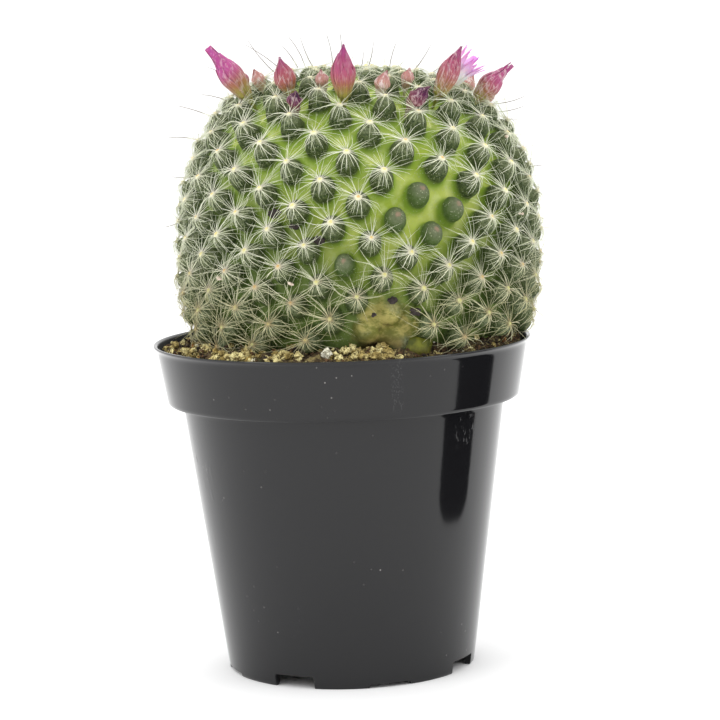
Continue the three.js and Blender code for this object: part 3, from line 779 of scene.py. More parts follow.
def cactusSkin():
    fixed = {"IOR": 1.4, "Specular IOR Level": 0.32, "Subsurface Weight": 0.12, "Subsurface Scale": 0.002}
    finish = Finish("cactus_skin", fixed)
    finish.surface.inputs["Subsurface Radius"].default_value = (0.6, 1.0, 0.25)
    rise, near, bare, chance = (finish.attribute(name) for name in ("rise", "near", "bare", "chance"))
    # painted shade: the stem's colours darken toward the bottom, and lower down toward its left and right
    # sides
    aside = abs(finish.along(0) - 0.009)
    level = finish.along(2) - aside * 0.5 + (finish.noise(110, 2) - 0.5) * 0.02
    high = finish.between(level, *skin["shadeHigh"])
    toLeft = finish.between(finish.along(0), 0.006, -0.028)
    blotch = finish.noise(160)
    grain = finish.noise(1500, 5, 0.75)
    height = rise + (blotch - 0.5) * 0.14

    # a whitish veil on the valleys, the skin's own, laid on more thickly toward the left as painted light
    mistAndLight = finish.between(finish.noise(420, 4, 0.6), 0.44, 0.66) * (0.32 + toLeft * 0.42)
    valley = finish.mix(finish.between(finish.noise(90), 0.35, 0.65), *skin["valley"])
    valley = finish.mix(mistAndLight, valley, skin["valleyMistAndLight"])
    # painted shade: low down, the valleys and flanks take the shaded colours
    valley = finish.mix(high, skin["shadedValley"], valley)
    # the flank colour close under each cap: the skin's own darker green, widened as painted shade from the
    # caps
    flank = finish.mix(blotch, *skin["flank"])
    flank = finish.mix(high, skin["shadedFlank"], flank)
    cap = finish.mix(finish.between(grain, 0.36, 0.66), *skin["cap"])
    cap = finish.mix(chance * 0.4, cap, skin["freshCap"])
    plain = finish.mix(finish.between(near, 3.6, 0.8), *skin["bareCap"])
    plain = finish.mix(finish.between(grain, 0.4, 0.7) * 0.4, plain, skin["bareGrain"])
    cap = finish.mix(bare, cap, plain)
    # the valley blends into the flank colour under the caps, partly as painted shade
    colour = finish.mix(finish.between(height, 0.01, 0.33), valley, flank)
    colour = finish.mix(finish.between(height - bare * 0.08, 0.25, 0.52), colour, cap)

    bloom = finish.between(near, 4.2, 0.6) * finish.between(grain, 0.30, 0.62) * (0.7 - bare * 0.55)
    colour = finish.mix(bloom, colour, skin["bloom"])
    flecks = finish.between(finish.cells(1700), 0.34, 0.14) * finish.between(finish.noise(600), 0.42, 0.58)
    colour = finish.mix(flecks * 0.6, colour, skin["flecks"])
    scar = bare * finish.between(near + finish.noise(900, 2) * 0.8, 1.35, 0.7)
    colour = finish.mix(scar * 0.75, colour, skin["scar"])

    patch = finish.attribute("corky") + (finish.noise(240) - 0.5) * 0.9
    streaks = finish.noise((230, 230, 430), 5, 0.7)
    bark = finish.mix(finish.between(streaks, 0.38, 0.62), *skin["bark"])
    bark = finish.mix(finish.between(finish.along(2), *skin["barkFootHigh"]) * 0.7, bark, skin["barkFoot"])
    bark = finish.mix(finish.between(finish.noise(170, 4, 0.6), 0.54, 0.66), bark, skin["barkCracks"])
    colour = finish.mix(finish.between(patch, 0.95, 0.6), colour, bark)
    finish.feed("Base Color", colour)
    finish.feed("Roughness", 0.5 + blotch * 0.2)
    finish.bump(finish.noise(1100, 4, 0.6) + finish.noise(260, 2) * 0.8, 0.5, 0.00025)
    return finish.material


def makeStem(tubercles):
    parts = [addCore()]
    thumb = addNew(bpy.ops.mesh.primitive_uv_sphere_add, segments=18, ring_count=14, radius=1)
    ball = pointsOf(thumb)
    for tubercle in tubercles:
        part = copyOf(thumb)
        movePoints(part, thumbPoints(ball, tubercle))
        parts.append(part)
    bpy.data.objects.remove(thumb)
    piece = joinPieces(parts)
    pick(piece)
    bpy.ops.object.mode_set(mode="EDIT")
    pointNormalsOut()
    applyModifier(piece, "REMESH", mode="VOXEL", voxel_size=stem["voxel"])
    applyModifier(piece, "SMOOTH", factor=0.5, iterations=3)
    stemShading(piece, tubercles)
    finishPiece(piece, "stem_skin", plantPlace, cactusSkin(), ["stem"])


tubercles = makeTubercles()
shapeTubercles(tubercles)
makeStem(tubercles)


# Small things on the stem: remains of old flowers between tubercles, and a green offset low in front

lumps = {
    "withered_remains": {
        "places": [  # reach, turn, size in mm
            (61.8, -28.3, 1.8), (64.5, -21.2, 1.3), (67.7, -13.0, 1.8), (81.3, 11.5, 1.3),
            (84.3, 19.5, 1.6), (85.0, 5.5, 0.8),
        ],
        "depth": 0.5,
        "colours": ((0.004, 0.003, 0.003), (0.075, 0.055, 0.05)),
    },
    "pale_tufts": {
        "places": [(77.5, -47.5, 0.85), (77.5, -20.5, 0.8), (62.5, 62.5, 0.75), (44.0, 65.0, 0.6)],
        "depth": 0.08,
        "colours": ((0.42, 0.26, 0.16), (0.92, 0.84, 0.74)),
    },
}

offset = {
    "turn": 27.0,
    "away": 36.6,  # from the pot's axis, mm
    "high": 80.0,
    "size": (4.0, 3.2, 3.0),  # half its width, depth and height
    "green": ((0.075, 0.09, 0.008), (0.19, 0.20, 0.018)),
    "foot": (0.10, 0.07, 0.02),
    "footHigh": (0.081, 0.078),
}


def makeLumps(name):  # rough crumbs between the tubercles
    parts = []
    for place, (reach, turn, size) in enumerate(lumps[name]["places"]):
        spot, normal = skinAt(reach, turn, lumps[name]["depth"]), globeAt(reach, turn)[1]
        part = addNew(bpy.ops.mesh.primitive_ico_sphere_add, subdivisions=3, radius=size)
        points = pointsOf(part)
        swell = [0.75 + noise.noise(Vector(point) * 1.1 + normal * place) * 0.6 for point in points]
        movePoints(part, points * np.array(swell)[:, None] * (1, 0.75, 0.7) + np.array(spot))
        parts.append(part)
    finish = Finish(name, {"Roughness": 0.85})
    finish.feed("Base Color", finish.mix(finish.noise(1400, 4), *lumps[name]["colours"]))
    finish.bump(finish.noise(1800, 4), 0.8, 0.0004)
    finishPiece(joinPieces(parts), name, plantPlace, finish.material)


def makeOffset():
    piece = addNew(bpy.ops.mesh.primitive_uv_sphere_add, segments=32, ring_count=20, radius=1)
    points = pointsOf(piece)
    swell = 1 + 0.06 * np.sin(points[:, 0] * 4) + 0.05 * np.sin(points[:, 2] * 5 + points[:, 1] * 3)
    place = headingAt(offset["turn"], 90) * offset["away"] + up * offset["high"]
    movePoints(piece, points * swell[:, None] * offset["size"] + np.array(place))
    finish = Finish("offset_skin", {"Roughness": 0.55, "Specular IOR Level": 0.3})
    colour = finish.mix(finish.between(finish.noise(420, 4, 0.6), 0.35, 0.65), *offset["green"])
    brown = finish.between(finish.along(2), *offset["footHigh"])
    finish.feed("Base Color", finish.mix(brown * 0.6, colour, offset["foot"]))
    finish.bump(finish.noise(900), 0.4, 0.0003)
    finishPiece(piece, "green_offset", potPlace, finish.material)


for name in lumps:
    makeLumps(name)
makeOffset()


# Areoles: a small woolly cushion on each tubercle

areoles = {
    "wide": 0.74,
    "thick": 0.46,
    "rough": 0.22,
    "young": 0.55,  # how wide the smallest are beside the full-grown ones
    "lowFrom": (68, 92),
    "lowShare": 0.66,
    "seed": 3,
    "wool": ((0.66, 0.65, 0.42), (0.88, 0.86, 0.64)),
    "hearts": ((0.80, 0.68, 0.24), (0.74, 0.43, 0.13)),
    "dull": ((0.40, 0.40, 0.14), (0.36, 0.22, 0.09)),
    "dullHigh": (0.112, 0.088),
}


def creamWool():
    finish = Finish("areole_wool", {"Roughness": 0.9})
    middle, warm = finish.attribute("middle"), finish.attribute("chance")
    colour = finish.mix(finish.noise(1500), *areoles["wool"])
    heart = finish.mix(warm, *areoles["hearts"])
    colour = finish.mix(finish.between(middle, 0.34, 0.64) * 0.85, colour, heart)
    dull = finish.mix(warm, *areoles["dull"])
    colour = finish.mix(finish.between(finish.along(2), *areoles["dullHigh"]) * 0.75, colour, dull)
    finish.feed("Base Color", colour)
    finish.bump(finish.noise(2500), 0.8, 0.0002)
    return finish.material


def makeAreoles(tubercles):
    chance = random.Random(areoles["seed"])
    tuft = addNew(bpy.ops.mesh.primitive_ico_sphere_add, subdivisions=3, radius=1)
    bpy.ops.object.mode_set(mode="EDIT")
    bpy.ops.transform.vertex_random(offset=areoles["rough"], seed=areoles["seed"])
    bpy.ops.object.mode_set(mode="OBJECT")
    ball = pointsOf(tuft)
    inward = np.clip(1 - np.linalg.norm(ball[:, :2], axis=1), 0, 1) * (ball[:, 2] > 0)
    parts = []
    for tubercle in tubercles:
        if tubercle["bare"] or tubercle["corky"]:
            continue
        part = copyOf(tuft)
        grown = areoles["young"] + (1 - areoles["young"]) * tubercle["growth"]
        size = grown * chance.uniform(0.85, 1.15) * areoles["wide"]
        size *= 1 - (1 - areoles["lowShare"]) * float(smoothStep(*areoles["lowFrom"], tubercle["reach"]))
        axis, side, middle = (np.array(tubercle[name]) for name in ("axis", "side", "areole"))
        down = np.cross(side, axis)
        flat = ball * np.array([size, size, areoles["thick"]])
        movePoints(part, middle + flat[:, :1] * side + flat[:, 1:2] * down + flat[:, 2:3] * axis)
        addAttribute(part, "middle", inward)
        addAttribute(part, "chance", smoothStep(0.45, 1, chance.random()))
        parts.append(part)
    bpy.data.objects.remove(tuft)
    finishPiece(joinPieces(parts), "areole_wool", plantPlace, creamWool())


makeAreoles(tubercles)


# Spines: fine curved ones that spread from each areole, with a few longer and darker

spines = {
    "count": (30, 38),
    "uneven": 7,  # degrees
    "crownFrom": (34, 20),  # where the crown, the foot and the left side begin to count, and count in full
    "footFrom": (70, 92),
    "leftFrom": (0.3, 0.8),
    "crownFewer": 0.42,
    "footFewer": 0.1,
    "leftMore": 0.28,
    "length": (3.8, 8.2),
    "crownShorter": 0.3,
    "footLonger": 0.28,
    "rise": (-4, 24),
    "thick": (0.046, 0.084),
    "narrows": 0.62,
    "sag": (0.02, 0.24),
    "overSag": (0.10, 0.42),  # more for those that lie over their own tubercle
    "curl": 0.19,
    "footCurl": 0.14,
    "wave": 0.2,
    "highest": (-0.1, 1.6),  # over the areoles' own level
    "dive": (0.4, 3.6),  # how far the tips bend below it, between the tubercles
    "fanReach": (14, 20, 36, 46),  # where those toward the crown stand up, in front of the buds
    "fanShare": 0.7,
    "fanRise": (18, 44),
    "fanSag": 0.05,
    "fanHigh": 5.0,
    "hairCount": (2, 5),  # finer and longer ones that stand off the plant
    "hairLength": (5.0, 9.0),
    "hairRise": (15, 62),
    "hairCurl": 0.26,
    "hairSag": (0, 0.3),
    "hairThick": 0.046,
    "hairDark": 0.75,
    "hairHigh": 4.8,
    "levels": [0, 0.2, 0.42, 0.64, 0.84, 1.0],
    "clear": 1.05,  # how far off a tubercle's rounded end they keep, as a share of its size
    "overSoil": 0.25,
    "rimFrom": 42.5,
    "overRim": 79.0,
    "strays": [  # long hairs in front of the pale ground: foot and tip, each across and high, in mm
        ((-14.3, 64.0), (-18.5, 69.5)), ((-12.0, 62.0), (-17.8, 72.3)), ((-9.5, 62.0), (-14.1, 71.7)),
        ((-6.0, 62.0), (-8.1, 72.9)), ((-4.5, 62.0), (-4.8, 73.6)), ((-16.0, 60.0), (-26.7, 71.3)),
        ((-13.0, 58.0), (-28.3, 69.8)), ((-25.0, 57.5), (-37.0, 64.0)), ((-29.0, 55.0), (-38.2, 57.3)),
        ((-34.0, 52.0), (-43.4, 54.8)), ((-38.0, 46.6), (-45.8, 46.8)), ((-38.0, 37.8), (-44.7, 37.8)),
        ((-40.0, 28.0), (-46.0, 26.0)), ((0.3, 63.0), (1.1, 68.3)), ((1.4, 62.0), (3.5, 71.2)),
        ((7.2, 62.0), (9.3, 71.0)), ((11.5, 62.0), (17.2, 70.4)), ((15.0, 60.0), (19.6, 64.5)),
        ((33.0, 54.0), (40.0, 55.6)), ((31.0, 56.0), (40.2, 58.3)), ((30.0, 51.0), (38.6, 52.2)),
        ((38.0, 40.0), (44.5, 41.5)), ((38.5, 30.0), (45.0, 29.0)),
    ],
    "strayThick": 0.14,
    "strayDark": 2.2,
    "strayDepth": (-5, 5),
    "strayBow": (0.12, 0.34),
    "seed": 21,
    "pale": ((0.64, 0.69, 0.46), (0.93, 0.94, 0.77)),
    "dull": ((0.44, 0.42, 0.20), (0.74, 0.72, 0.46)),
    "stub": ((0.84, 0.79, 0.70), (0.46, 0.38, 0.20)),
    "dullHigh": (0.106, 0.086),
    "brown": (0.19, 0.145, 0.11),
}


def spineLine(start, way, axis, curl, sag, length, wave=0.0):
    points = []
    for level in spines["levels"]:
        bend = curl * (level ** 2 + wave * math.sin(level * 5)) - axis * sag * level ** 2
        points.append(start + (way * level + bend) * length)
    return points


def keepClear(point, highest, tree, tubercles):  # near the globe, off the tubercles, the soil and the rim
    nearest = tubercles[tree.find(point)[1]]
    above = (point - nearest["top"]).dot(nearest["normal"]) - highest
    if above > 0:
        point = point - nearest["normal"] * above * 0.95
    for _, index, _ in tree.find_n(point, 3):
        tubercle = tubercles[index]
        away = point - tubercle["middle"]
        size = tubercle["size"]
        across = away.dot(tubercle["side"]) / (stem["capWide"] * size)
        along = away.dot(tubercle["down"]) / (stem["capTall"] * size)
        out = max(0, away.dot(tubercle["normal"]) / (stem["capDeep"] * size))
        share = math.sqrt(across ** 2 + along ** 2 + out ** 2)
        if share < spines["clear"]:
            more = spines["clear"] / max(share, 0.2) - 1
            point = point + tubercle["side"] * across * stem["capWide"] * size * more
            point = point + tubercle["down"] * along * stem["capTall"] * size * more
            point = point + tubercle["normal"] * out * stem["capDeep"] * size * more
    inPot = stand @ point
    overRim = math.hypot(inPot.x, inPot.y) > spines["rimFrom"]
    lowest = spines["overRim"] if overRim else loamHeight(inPot.x, inPot.y) + spines["overSoil"]
    if inPot.z < lowest:
        point = point + up * (lowest - inPot.z)
    return point


def starOf(tubercle, chance):  # every spine of one areole, as (points, thickness, darkness, highest, dive)
    axis, side, reach = tubercle["axis"], tubercle["side"], tubercle["reach"]
    down = side.cross(axis)
    if down.dot(tubercle["down"]) < 0:
        down = down * -1
    grown = 0.4 + 0.6 * tubercle["growth"]
    crown = float(smoothStep(*spines["crownFrom"], reach))
    foot = float(smoothStep(*spines["footFrom"], reach))
    left = float(smoothStep(*spines["leftFrom"], -math.sin(math.radians(tubercle["turn"]))))
    opens, opened, closes, closed = spines["fanReach"]
    fan = float(smoothStep(opens, opened, reach) * smoothStep(closed, closes, reach))

    def wayAt(around, rise):
        flat = side * math.cos(around) + down * math.sin(around)
        return flat, flat * math.cos(rise) + axis * math.sin(rise)

    found = []
    share = 1 - spines["crownFewer"] * crown - spines["footFewer"] * foot
    share = share + spines["leftMore"] * left * (1 - crown)
    count = round(chance.randint(*spines["count"]) * grown * share)
    first = chance.uniform(0, 360)
    for place in range(count):
        around = math.radians(first + place * 360 / count + chance.gauss(0, spines["uneven"]))
        flat, way = wayAt(around, math.radians(chance.uniform(*spines["rise"])))
        over = max(0.0, math.sin(around))
        curl = axis.cross(flat) * chance.gauss(0, spines["curl"] + spines["footCurl"] * foot)
        sag = chance.uniform(*spines["sag"]) + over * chance.uniform(*spines["overSag"])
        length = chance.uniform(*spines["length"]) * grown * (1.12 - 0.5 * over)
        length *= 1 - spines["crownShorter"] * crown + spines["footLonger"] * foot
        start = tubercle["areole"] + flat * 0.3 + axis * 0.12
        thick = chance.uniform(*spines["thick"])
        wave = chance.gauss(0, spines["wave"])
        highest = chance.uniform(*spines["highest"]) * (1 - 0.8 * crown)
        if math.sin(around) < -0.25 and chance.random() < spines["fanShare"] * fan:
            flat, way = wayAt(around, math.radians(chance.uniform(*spines["fanRise"])))
            sag, highest = spines["fanSag"], spines["fanHigh"]
        line = spineLine(start, way, axis, curl, sag, length, wave)
        found.append((line, thick, chance.random() * 0.35, highest, chance.uniform(*spines["dive"])))
    for place in range(round(chance.randint(*spines["hairCount"]) * tubercle["growth"])):
        around = math.radians(chance.uniform(0, 360))
        flat, way = wayAt(around, math.radians(chance.uniform(*spines["hairRise"])))
        curl = axis.cross(flat) * chance.gauss(0, spines["hairCurl"])
        length = chance.uniform(*spines["hairLength"]) * grown
        start = tubercle["areole"] + axis * 0.15
        line = spineLine(start, way, axis, curl, chance.uniform(*spines["hairSag"]), length)
        found.append((line, spines["hairThick"], spines["hairDark"], spines["hairHigh"], 0.0))
    return found


def strayHairs(chance):  # the few long ones that stand off the plant, in the same form
    found = []
    for (footAcross, footHigh), (tipAcross, tipHigh) in spines["strays"]:
        depth = chance.uniform(*spines["strayDepth"])
        foot = Vector((footAcross, depth, footHigh))
        ahead = Vector((tipAcross, depth * 1.2, tipHigh)) - foot
        bow = ahead.cross(Vector((0, 1, 0))) * chance.choice((-1, 1)) * chance.uniform(*spines["strayBow"])
        line = [foot + ahead * level + bow * (level ** 2 - level) for level in spines["levels"]]
        found.append((line, spines["strayThick"], spines["strayDark"], 0.0, 0.0))
    return found


def spineTube(line, thick, first):  # three-sided, narrowing to a point; its points are counted from first
    ahead = (line[-1] - line[0]).normalized()
    across = ahead.orthogonal().normalized()
    other = ahead.cross(across)
    points, faces, along = [], [], []
    for place, level in zip(line[:-1], spines["levels"]):
        radius = thick * (1 - spines["narrows"] * level)
        for corner in range(3):
            angle = corner * 2 * math.pi / 3
            points.append(place + (across * math.cos(angle) + other * math.sin(angle)) * radius)
            along.append(level)
    points.append(line[-1])
    along.append(1.0)
    tip = first + len(points) - 1
    for ring in range(first, tip, 3):
        for corner in range(3):
            here, there = ring + corner, ring + (corner + 1) % 3
            faces.append((here, there, there + 3, here + 3) if ring + 3 < tip else (here, there, tip))
    faces.append((first + 2, first + 1, first))
    return points, faces, along


def spinePiece(name, tubes, tints, darks, finish):
    points, faces, along, dark, tint = [], [], [], [], []
    for (line, thick), itsTint, itsDark in zip(tubes, tints, darks):
        newPoints, newFaces, newAlong = spineTube(line, thick, len(points))
        points.extend(newPoints)
        faces.extend(newFaces)
        along.extend(newAlong)
        dark.extend([itsDark] * len(newPoints))
        tint.extend([itsTint] * len(newPoints))
    piece = meshPiece(name, points, faces)
    for attribute, values in (("along", along), ("dark", dark), ("tint", tint)):
        addAttribute(piece, attribute, values)
    finishPiece(piece, name, plantPlace, finish)


def makeSpines(tubercles):
    chance = random.Random(spines["seed"])
    tree = treeOf([tubercle["middle"] for tubercle in tubercles])
    groups = {"spines_crown": [], "spines_middle": [], "spines_low": []}
    for tubercle in tubercles:
        if tubercle["bare"] or tubercle["corky"]:
            continue
        level = "spines_crown" if tubercle["reach"] < 45 else "spines_middle"
        level = "spines_low" if tubercle["reach"] > 76 else level
        groups[level].extend(starOf(tubercle, chance))
    groups["stray_hairs"] = strayHairs(chance)
    finish = spineHorn()
    for name, found in groups.items():
        tubes = []
        for line, thick, _, highest, dive in found:
            if name != "stray_hairs":
                highs = [highest - dive * level ** 2 for level in spines["levels"]]
                line = [keepClear(point, high, tree, tubercles) for point, high in zip(line, highs)]
            tubes.append((line, thick))
        tints = [chance.random() for _ in found]
        spinePiece(name, tubes, tints, [dark for _, _, dark, _, _ in found], finish)


def spineHorn():
    finish = Finish("spine_horn", {"Roughness": 0.45, "IOR": 1.5})
    along, dark, tint = (finish.attribute(name) for name in ("along", "dark", "tint"))
    low = finish.between(finish.along(2), *spines["dullHigh"])
    pale = finish.mix(low, finish.mix(tint, *spines["pale"]), finish.mix(tint, *spines["dull"]))
    root = finish.mix(finish.between(along, 0.0, 0.3), finish.mix(low, *spines["stub"]), pale)
    brown = finish.between(along * dark, 0.35, 0.85)
    finish.feed("Base Color", finish.mix(brown, root, spines["brown"]))
    return finish.material


makeSpines(tubercles)


# Buds: overlapping tepals round a solid heart, on the same curved line as the plain solid

buds = [
    {"node": "bud_far_left", "stage": "closed", "axil": 65, "long": 19.6, "wide": 5.5, "lean": 39.4,
     "toward": -71, "beak": 1.05, "drawn": 0.1, "tone": 0.9, "pale": 1.8},
    {"node": "bud_left", "stage": "closed", "axil": 57, "long": 12.6, "wide": 4.9, "lean": 23,
     "toward": -47.0, "aside": 1.6, "pale": 2.2},
    {"node": "bud_middle", "stage": "closed", "axil": 62, "long": 17.4, "wide": 5.6, "lean": 24.2,
     "toward": -5.5, "aside": 1.1, "tone": 0.3, "pale": 0.7},
    {"node": "bud_right", "stage": "closed", "axil": 59, "long": 16.9, "wide": 4.7, "lean": 27.0,
     "toward": 60.0, "beak": 0.2, "tone": 0.15, "pale": 2.6},
    {"node": "bud_far_right", "stage": "closed", "axil": 64, "long": 15.9, "wide": 5.2, "lean": 42.5,
     "toward": 81.2, "beak": 0.85, "drawn": 0.2, "tone": 0.45, "pale": 3.4},
    {"node": "bud_back", "stage": "closed", "axil": 58, "long": 9.6, "wide": 4.6},
    {"node": "bud_back_left", "stage": "closed", "axil": 63, "long": 9.8, "wide": 4.8},
    {"node": "bud_back_right", "stage": "closed", "axil": 69, "long": 12.5, "wide": 5},
    {"node": "bud_side_left", "stage": "closed", "axil": 60, "long": 11.5, "wide": 4.8, "tone": 0.4},
    {"node": "young_bud_1", "stage": "young", "axil": 54, "long": 9, "wide": 3.8, "lean": 22.9,
     "toward": 34.7},
    {"node": "young_bud_2", "stage": "young", "axil": 52, "long": 8.2, "wide": 3.2},
    {"node": "young_bud_3", "stage": "young", "axil": 49, "long": 7.9, "wide": 3},
    {"node": "young_bud_4", "stage": "young", "axil": 46, "long": 7.7, "wide": 3},
    {"node": "young_bud_5", "stage": "young", "axil": 50, "long": 8, "wide": 3.2},
    {"node": "young_bud_6", "stage": "young", "axil": 53, "long": 8.3, "wide": 3.4},
    {"node": "young_bud_7", "stage": "young", "axil": 56, "long": 8.6, "wide": 3.6},
    {"node": "young_bud_8", "stage": "young", "axil": 61, "long": 9, "wide": 3.8},
    {"node": "dried_bud_1", "stage": "dried", "axil": 67, "long": 10.6, "wide": 4, "lean": 43.7,
     "toward": 51.8},
    {"node": "dried_bud_2", "stage": "dried", "axil": 70, "long": 8.2, "wide": 3.6, "lean": 32.3,
     "toward": -9.0},
    {"node": "dried_bud_3", "stage": "dried", "axil": 66, "long": 8.6, "wide": 3.6},
    {"node": "dried_bud_4", "stage": "dried", "axil": 68, "long": 8.8, "wide": 3.6},
    {"node": "open_flower", "stage": "open", "axil": 51, "long": 13.9, "wide": 7.5, "lean": 36.9,
     "toward": 77.3},
]

stages = {
    "closed": {
        "slot": "bud",
        "layers": (5, 5, 3),  # how many tepals in each layer, from the outer one in
        "finish": "bud_tepals",
        "stops": [  # from foot to tip
            (0.0, (0.18, 0.23, 0.03)), (0.36, (0.30, 0.25, 0.045)), (0.47, (0.36, 0.15, 0.06)),
            (0.62, (0.34, 0.075, 0.07)), (0.80, (0.29, 0.03, 0.08)), (1.0, (0.20, 0.01, 0.13)),
        ],
        "veins": 0.6,
        "flecks": 0.18,
        "fixed": {"Subsurface Weight": 0.1, "Subsurface Scale": 0.001},
    },
    "young": {
        "slot": "young_bud",
        "layers": (4, 4),
        "finish": "young_bud_tepals",
        "stops": [
            (0.0, (0.25, 0.30, 0.08)), (0.45, (0.50, 0.38, 0.23)), (0.7, (0.54, 0.28, 0.22)),
            (1.0, (0.44, 0.16, 0.16)),
        ],
        "veins": 0.35,
        "flecks": 0.55,
        "fixed": {"Subsurface Weight": 0.1, "Subsurface Scale": 0.001},
    },
    "dried": {
        "slot": "dried_bud",
        "layers": (4, 4),
        "finish": "dried_bud_tepals",
        "stops": [
            (0.0, (0.16, 0.17, 0.04)), (0.35, (0.24, 0.13, 0.09)), (0.55, (0.20, 0.07, 0.08)),
            (0.78, (0.06, 0.015, 0.055)), (1.0, (0.02, 0.006, 0.03)),
        ],
        "veins": 0.6,
        "flecks": 0.3,
        "fixed": {"Subsurface Weight": 0.0, "Specular IOR Level": 0.15},
    },
    "open": {
        "slot": "open_flower",
        "layers": ((9, 1.0, 0.62), (10, 0.94, 0.42), (8, 0.86, 0.22)),  # petals, their reach and flare
        "finish": "flower_petals",
        "stops": [
            (0.0, (0.30, 0.34, 0.12)), (0.35, (0.74, 0.70, 0.58)), (0.62, (0.93, 0.88, 0.89)),
            (0.8, (0.85, 0.50, 0.82)), (1.0, (0.70, 0.13, 0.64)),
        ],
        "veins": 0.12,
        "flecks": 0.1,
        "fixed": {"Subsurface Weight": 0.15, "Subsurface Scale": 0.001},
    },
}

tepals = {
    "thick": 0.09,
    "start": 0.30,  # where they leave the bud, as a share of its length
    "end": 1.02,
    "outerStart": -0.04,  # for each layer further out
    "outerEnd": -0.14,
    "overlap": 1.25,
    "layerLift": 0.07,
    "creased": 0.45,  # how far a dried one is drawn out of shape, mm
    "petalThick": 0.08,
    "petalStart": 0.36,
    "petalWide": 0.62,
    "tubeWide": 4.2,
    "tubeTop": 0.9,
    "veins": (0.20, 0.02, 0.06),
    "edges": (0.72, 0.40, 0.46),
    "tones": ((0.25, 0.010, 0.15), (0.64, 0.08, 0.42)),
    "streaks": (0.74, 0.60, 0.58),
}


def budLine(bud):
    above = [sprout(bud["axil"] - step) for step in (0, 13, 21)]  # the tubercles round its axil
    heading = Vector()
    for _, turn in above:
        heading = heading + headingAt(turn, 90)
    turn = math.degrees(math.atan2(heading.x, -heading.y))
    mean = sum(reach for reach, _ in above) / 3
    reach = mean + plant["lift"] * min(1, mean / plant["youngReach"])
    seat, normal = skinAt(reach, turn), globeAt(reach, turn)[1]
    seat = seat + headingAt(turn + 90, 90) * bud.get("aside", 0)
    way = headingAt(bud["toward"], bud["lean"]) if "lean" in bud else normal
    foot = seat + normal * 0.4
    elbow = foot + normal * bud["long"] * 0.52
    tip = seat + way * bud["long"]
    steps = [step / 120 for step in range(121)]
    fine = np.array([foot * (1 - u) ** 2 + elbow * 2 * u * (1 - u) + tip * u * u for u in steps])
    lengths = np.concatenate([[0], np.cumsum(np.linalg.norm(np.diff(fine, axis=0), axis=1))])
    even = np.linspace(0, 1, 65)
    line = np.array([np.interp(even, lengths / lengths[-1], fine[:, axis]) for axis in range(3)]).T
    ahead = np.gradient(line, axis=0)
    ahead /= np.linalg.norm(ahead, axis=1)[:, None]
    turned = [up.rotation_difference(Vector(direction)) for direction in ahead]
    across = [each @ Vector((1, 0, 0)) for each in turned]
    other = [each @ Vector((0, 1, 0)) for each in turned]
    return even, line, ahead, np.array(across), np.array(other)


def onLine(budPath, share, angle, radius):  # points at shares of the line, round it at angles
    even, line, ahead, across, other = budPath

    def blended(rows):
        return np.array([np.interp(np.clip(share, 0, 1), even, rows[:, axis]) for axis in range(3)]).T

    arm = blended(across) * np.cos(angle)[:, None] + blended(other) * np.sin(angle)[:, None]
    past = np.maximum(share - 1, 0)[:, None] * blended(ahead) * 10
    return blended(line) + arm * radius[:, None] + past


def budRadius(bud, share):
    widestAt = max(0.56, 5.4 / bud["long"]) - 0.02
    half = bud["wide"] / 2
    rest = 1 - widestAt
    places = [0, 1.8 / bud["long"], 4.9 / bud["long"], widestAt]
    sizes = [0.45, 0.45, min(1.45, half * 0.9), half]
    beak = bud.get("beak", 0.12)
    drawn = bud.get("drawn", 0)  # a bud with a beak narrows sooner
    places += [widestAt + rest * part for part in (0.22, 0.45, 0.7, 0.88, 1.0)]
    sizes += [half * (0.95 - drawn * 0.4), half * (0.72 - drawn), max(half * (0.38 - drawn), beak)]
    sizes += [max(half * 0.16, beak * 0.95), beak * 0.8]
    plain = np.interp(share, places, sizes)
    for shift in (-0.03, 0.03):
        plain = plain + np.interp(share + shift, places, sizes)
    return plain / 3


def flatSheet(columns):  # a grid, with its places from -1 to 1 across it and from 0 to 1 along it
    sheet = addNew(bpy.ops.mesh.primitive_grid_add, x_subdivisions=columns, y_subdivisions=14, size=2)
    flat = pointsOf(sheet)
    return sheet, flat[:, 0], (flat[:, 1] + 1) / 2


def describe(piece, **attributes):  # what the finish reads
    for name, values in attributes.items():
        addAttribute(piece, name, values)


def tepalSheet(budPath, bud, angle, start, end, spread, layer, seed):
    sheet, across, along = flatSheet(6)
    share = start + (end - start) * along
    blunt = 0.55 if bud.get("beak", 0) > 0.5 else 0.02
    wide = spread * np.clip(1 - along ** 2.6, blunt, 1)
    wide = wide * (0.62 + 0.38 * np.sin(np.clip(along * 1.7, 0, 1.57)))
    around = angle + across * wide + 0.12 * np.sin(along * 5 + seed) * along
    lift = tepals["layerLift"] * layer + 0.07 * across * (1 - along * 0.6)
    lift = lift + 0.05 * across ** 2 - 0.05 * (1 - across ** 2)  # cupped
    lift = lift + 0.10 * smoothStep(0.75, 1, along) * layer * 0.4
    ripple = 0.03 * np.sin(across * 9 + seed * 3) * along
    movePoints(sheet, onLine(budPath, share, around, budRadius(bud, share) + lift + ripple))
    tone, pale = bud.get("tone", 0.0), bud.get("pale", 1.5)
    describe(sheet, along=share, across=across, chance=seed * 0.37 % 1, tone=tone, pale=pale)
    return sheet


def budHeart(budPath, bud):
    heart = addNew(bpy.ops.mesh.primitive_uv_sphere_add, segments=20, ring_count=32, radius=1)
    ball = pointsOf(heart)
    share = (1 - np.arccos(np.clip(ball[:, 2], -1, 1)) / math.pi) * 0.97
    around = np.arctan2(ball[:, 1], ball[:, 0])
    pole = np.abs(ball[:, 2]) > 0.9999
    radius = np.where(pole, 0, budRadius(bud, share) - 0.12)
    movePoints(heart, onLine(budPath, share, around, np.maximum(radius, 0)))
    tone, pale = bud.get("tone", 0.0), bud.get("pale", 1.5)
    describe(heart, along=share, across=0.0, chance=0.0, tone=tone, pale=pale)
    return heart


